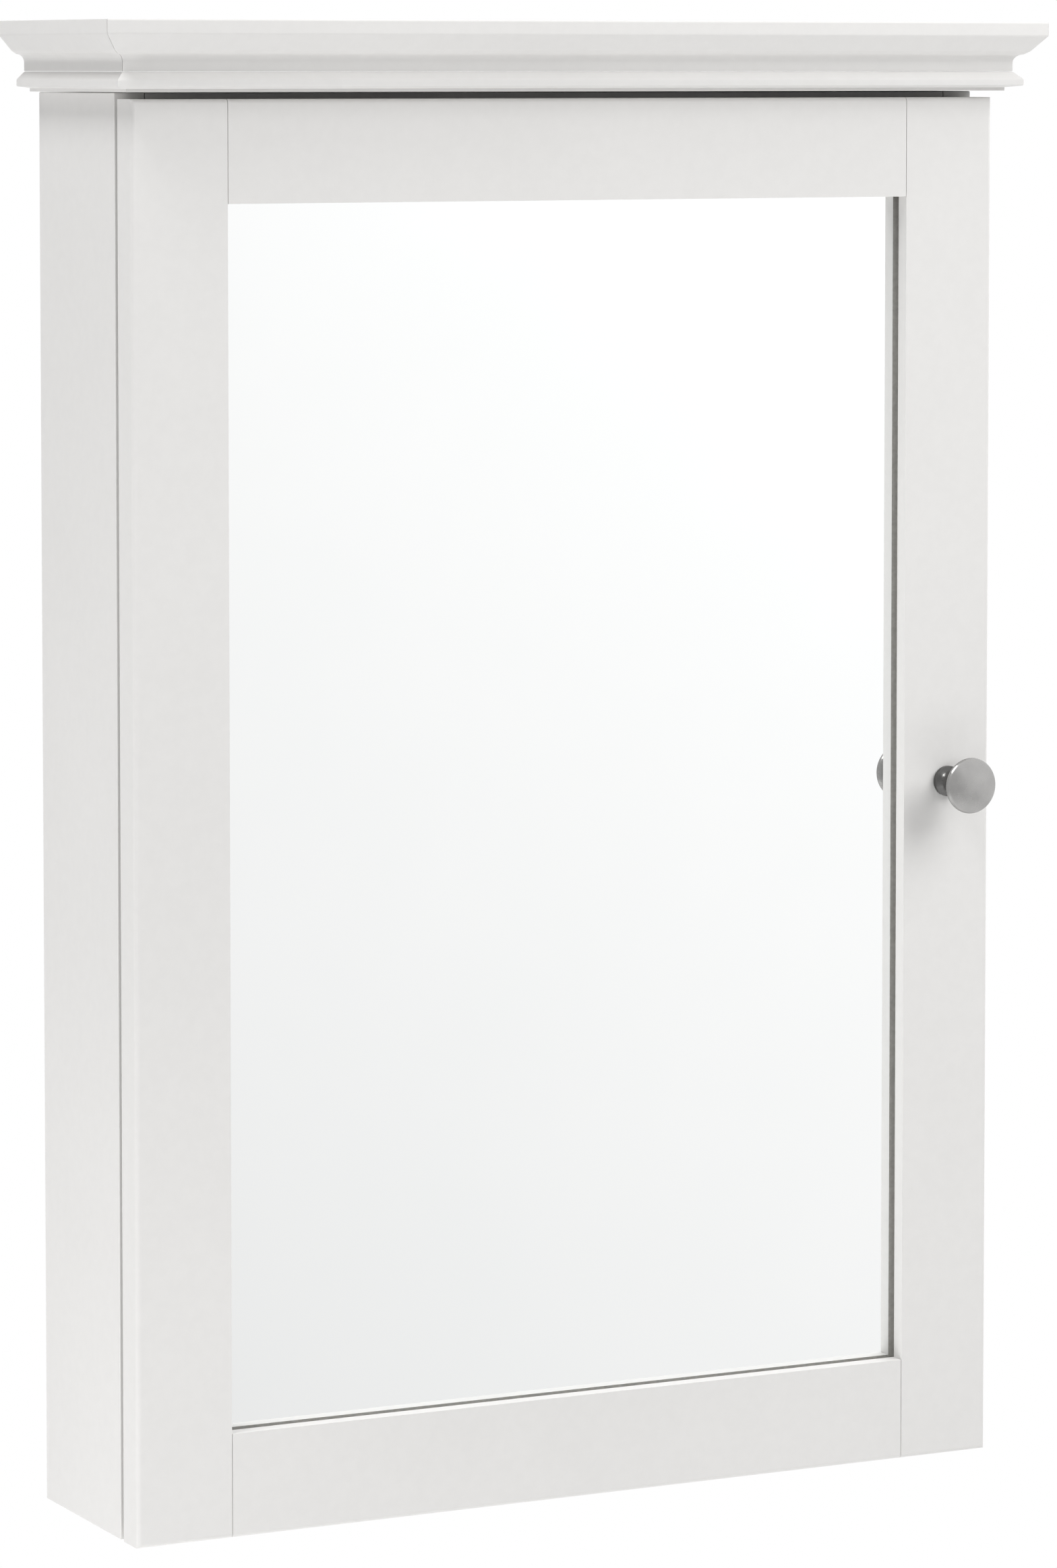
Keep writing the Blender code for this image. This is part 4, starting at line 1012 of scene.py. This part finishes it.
def build_cup(level, z):
    """The pressed cup: flange with tabs, drawn bowl, pocket, ears and two pivots."""
    node = "hinge_cup_" + level
    screws = [Vector((0.0060, side * 0.0240)) for side in (1, -1)]
    centre = Vector((CASE_LEFT + CUP_EDGE, DOOR_BACK, z))
    stand = Matrix.Translation(centre) @ Matrix.Rotation(math.radians(90), 4, "X")
    flange = outline_solid("flange", flange_outline(0.0179, screws, 0.0052),
                           -CLOSE - FLANGE_T, -CLOSE, STEEL, stand, 0.00025, 2)
    bowl_r, bend = 0.0172, 0.0014
    bowl_profile = [(0.0, -0.0006), (bowl_r, -0.0006), (bowl_r, CUP_DEPTH - bend)]
    bowl_profile += arc((bowl_r - bend, CUP_DEPTH - bend), bend, 0, 90, 6)
    bowl_profile += [(0.0, CUP_DEPTH)]
    bowl = turned("bowl", bowl_profile, centre, (0, -1, 0), STEEL, 96)
    combine(flange, [bowl], "UNION")
    seat = CLOSE + FLANGE_T
    pocket = board("pocket", centre + Vector((-0.01485, 0.0010 - CUP_DEPTH, -POCKET_Z)),
                   centre + Vector((0.01485, 0.006, POCKET_Z)), STEEL,
                   [(rims(1, -1), 0.0010, 4), (rims(1, 0), 0.0004, 3)])
    rim = board("rim_ease", centre + Vector((-0.0152, seat - 0.0003, -POCKET_Z - 0.0004)),
                centre + Vector((0.0152, 0.006, POCKET_Z + 0.0004)), STEEL_BRIGHT,
                [(rims(1, -1), 0.0004, 2)])
    combine(flange, [pocket, rim])
    ears = [eye(f"ear_{i}", CUP_OUTER, EAR_R, low, high, z)
            for i, (low, high) in enumerate(((-CHEEK_Z, -ARM_Z[0]), (ARM_Z[0], CHEEK_Z)))]
    pins = [pivot(f"pin_{i}", p, z, CHEEK_Z - CLOSE) for i, p in enumerate((CUP_OUTER, CUP_INNER))]
    combine(flange, ears + pins, "UNION")
    holes = []
    sinks = []
    for spot in screws:
        at = centre + Vector((spot.x, 0, spot.y))
        holes.append((at - Vector((0, PAST, 0)), (0, 1, 0), SCREW_HOLE_R, 3 * PAST))
        sinks.append((at + Vector((0, seat + SKIN, 0)), (0, -1, 0), 0.0023, 0.0018, 0.0005))
    # the dark steel paints shade on the walls of the screw holes
    combine(flange, [rods("screw_holes", holes, 32, STEEL_DARK),
                     cones("screw_sinks", sinks, 32, STEEL_BRIGHT)])
    flange.name = node + "_pressing"
    piece(shade(flange, 36), "door", "plated_steel", node)
    for side in ("upper", "lower"):
        screw_body(f"cup_screw_{level}_{side}", "door", (0, 1, 0), *CUP_SCREW)


def build_arm(level, z):
    """The channel-shaped arm, its two pivots and the round hole of its screw."""
    node = "hinge_arm_" + level
    outline = arc(ARM_INNER, 0.0024, 180, 360, 20)
    outline += eased([(*p, 0.0016) for p in ARM_OUTLINE], 0.0016, 6, closed=False)
    arm = plan_solid("channel", outline, -ARM_Z[1], ARM_Z[1], z, 0.0005, segments=4)
    hollow = plan_solid("hollow", eased([(*p, 0.0008) for p in ARM_HOLLOW], 0.0008, 4),
                        -ARM_Z[0], ARM_Z[0], z, 0.0004)
    combine(arm, [hollow])
    combine(arm, [pivot(f"pin_{i}", p, z, ARM_Z[1] + 0.0002)
                  for i, p in enumerate((ARM_OUTER, ARM_INNER))], "UNION")
    outer = 0.0335
    # the dark steel paints shade on the wall of the screw hole
    hole = rods("screw_hole", [(plan((outer - 2 * PAST, ARM_SCREW_Y), z), (1, 0, 0),
                                0.0023, 4 * PAST)], 40, STEEL_DARK)
    dish = cones("screw_dish", [(plan((outer + SKIN, ARM_SCREW_Y), z), (-1, 0, 0),
                                 0.0029, 0.0022, 0.0007)], 40, STEEL_BRIGHT)
    combine(arm, [hole, dish])
    # the stamp's dark steel paints shade in the pressed mark
    stamp = board("stamp", plan((outer - 0.00035, 0.0610), z - 0.0032),
                  plan((outer + 0.001, 0.0672), z + 0.0032), STEEL_DARK,
                  [(ALL_EDGES, 0.0006, 3)])
    combine(arm, [stamp])
    arm.name = node + "_channel"
    piece(shade(arm, 36), "cabinet", "plated_steel", node)
    screw_body("arm_screw_" + level, "cabinet", (1, 0, 0), *ARM_SCREW)


def build_plate(level, z):
    """The mounting plate: wings with screws, a raised spine and the arm's boss."""
    node = "hinge_plate_" + level
    low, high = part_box(node)
    base = low.x
    thick = 0.0015
    boss_top = high.x
    wing_half, spine_half, boss_half = 0.0235, 0.0110, 0.0052

    def at(x, depth, height):
        return Vector((x, CASE_FRONT + depth, z + height))

    top_rims = rims(0, 1)
    corners = rims(0, 0)
    plate = board("wings", at(base, PLATE_SCREW_Y - 0.0065, -wing_half),
                  at(base + thick, PLATE_SCREW_Y + 0.0065, wing_half), STEEL,
                  [(corners, 0.0045, 8), (top_rims, 0.0003, 2)])
    spine = board("spine", at(base, PLATE_SCREW_Y - 0.0120, -spine_half),
                  at(base + thick + 0.0004, 0.0720, spine_half), STEEL,
                  [(top_rims, 0.0003, 2), (corners, 0.0020, 6)])
    boss = board("boss", at(base + thick - 0.0005, 0.0420, -boss_half),
                 at(boss_top, 0.0690, boss_half), STEEL_BRIGHT,
                 [(top_rims, 0.0005, 3), (corners, 0.0012, 5)])
    combine(plate, [spine, boss], "UNION")
    holes = [(at(base - PAST, PLATE_SCREW_Y, dz), (1, 0, 0), SCREW_HOLE_R, 3 * PAST)
             for dz in (-0.016, 0.016)]
    holes.append((at(boss_top - 0.0100, ARM_SCREW_Y, 0), (1, 0, 0), 0.0022, 0.0120))
    # the dark steel paints shade on the walls of the plate's holes
    combine(plate, [rods("screw_holes", holes, 32, STEEL_DARK)])
    plate.name = node + "_pressing"
    piece(shade(plate, 36), "cabinet", "plated_steel", node)
    for side in ("upper", "lower"):
        screw_body(f"plate_screw_{level}_{side}", "cabinet", (1, 0, 0), *PLATE_SCREW)


def build_hinges():
    for level in LEVELS:
        for build in (build_plate, build_arm, build_outer_link, build_inner_link, build_cup):
            build(level, cup_height(level))


# ---- Stage ----
SKY = 0.21                # the studio's even light
SEEN_IN_GLOSS = (0.76, 1.14)   # the studio as mirror and metal show it
FLOOR_GLOW = 0.38
KEY = 31.0
FILL_RIGHT = 48.0
FILL_BELOW = 12.0


def build_floor():
    """A plain pale floor, far enough below to stay out of the way."""
    bpy.ops.mesh.primitive_circle_add(vertices=96, radius=2.6, fill_type="NGON",
                                      location=(0, -0.2, CASE_LOW - 0.80))
    floor = bpy.context.object
    floor.name = "floor"
    white = Nodes("floor_white").finish(Base_Color=(0.90, 0.90, 0.90, 1), Roughness=0.9,
                                        Emission_Color=(1, 1, 1, 1),
                                        Emission_Strength=FLOOR_GLOW)
    floor.data.materials.append(white)


def chosen(n, share, no, yes):
    """One of two strengths, by what kind of ray looks at the world."""
    node = n.add("ShaderNodeMix", data_type="FLOAT")
    for value, socket in zip((share, no, yes), (0, 2, 3)):
        n.link(value, node.inputs[socket])
    return node.outputs[0]


def build_world():
    """A white studio, brighter to the right and above."""
    world = bpy.data.worlds.new("studio")
    bpy.context.scene.world = world
    world.use_nodes = True
    n = Wiring(world.node_tree)
    lean = n.add("ShaderNodeVectorMath", operation="DOT_PRODUCT")
    lean.inputs[1].default_value = (0.90, 0.0, 0.84)
    n.link(n.add("ShaderNodeTexCoord").outputs["Generated"], lean.inputs[0])
    dim, bright = SEEN_IN_GLOSS
    seen = n.add("ShaderNodeMapRange", {"From Min": 0.05, "From Max": 0.45,
                                        "To Min": dim, "To Max": bright})
    n.link(lean.outputs["Value"], seen.inputs["Value"])
    ray = n.add("ShaderNodeLightPath")
    strength = chosen(n, ray.outputs["Is Glossy Ray"], SKY, seen.outputs["Result"])
    strength = chosen(n, ray.outputs["Is Camera Ray"], strength, 1.0)
    background = n.tree.nodes["Background"]
    n.link(strength, background.inputs["Strength"])
    background.inputs["Color"].default_value = (1, 1, 1, 1)


def area_light(name, place, aim, size, power, shown=True):
    data = bpy.data.lights.new(name, "AREA")
    data.shape = "RECTANGLE"
    data.size, data.size_y = size
    data.energy = power
    lamp = bpy.data.objects.new(name, data)
    bpy.context.scene.collection.objects.link(lamp)
    lamp.location = place
    lamp.rotation_mode = "QUATERNION"
    lamp.rotation_quaternion = (Vector(aim) - Vector(place)).to_track_quat("-Z", "Y")
    lamp.visible_camera = False
    lamp.visible_glossy = shown


def build_lights():
    middle = Vector((0, -0.06, (CASE_LOW + CASE_TOP) / 2))
    area_light("key_left_above", (-1.3, -0.5, 1.9), middle, (0.7, 0.9), KEY)
    upper = Vector((0, -0.06, CASE_TOP - 0.05))
    area_light("fill_front_right", (1.4, -1.5, 1.25), upper, (1.8, 1.8), FILL_RIGHT, False)
    area_light("fill_left_below", (-1.6, -0.6, -1.1), middle, (1.0, 0.5), FILL_BELOW, False)


def build_camera():
    """The viewpoint: to the left of the door, level with the crown, looking slightly down."""
    data = bpy.data.cameras.new("camera")
    data.sensor_width = 36.0
    data.lens = 138.339
    data.shift_y = -0.19
    data.clip_end = 60
    camera = bpy.data.objects.new("camera", data)
    bpy.context.scene.collection.objects.link(camera)
    camera.location = (-1.3581, -2.7677, 0.0589)
    yaw = math.radians(26.667)
    pitch = math.radians(3.984)
    forward = Vector((math.sin(yaw) * math.cos(pitch), math.cos(yaw) * math.cos(pitch),
                      -math.sin(pitch)))
    camera.rotation_mode = "QUATERNION"
    camera.rotation_quaternion = forward.to_track_quat("-Z", "Y")
    bpy.context.scene.camera = camera


def build_stage():
    build_floor()
    build_world()
    build_lights()
    build_camera()
    bpy.context.scene.view_settings.view_transform = "Standard"


build_carcass()
build_shelves()
build_crown()
build_frame()
build_mirror()
build_knob()
build_bumpers()
build_hinges()
build_stage()
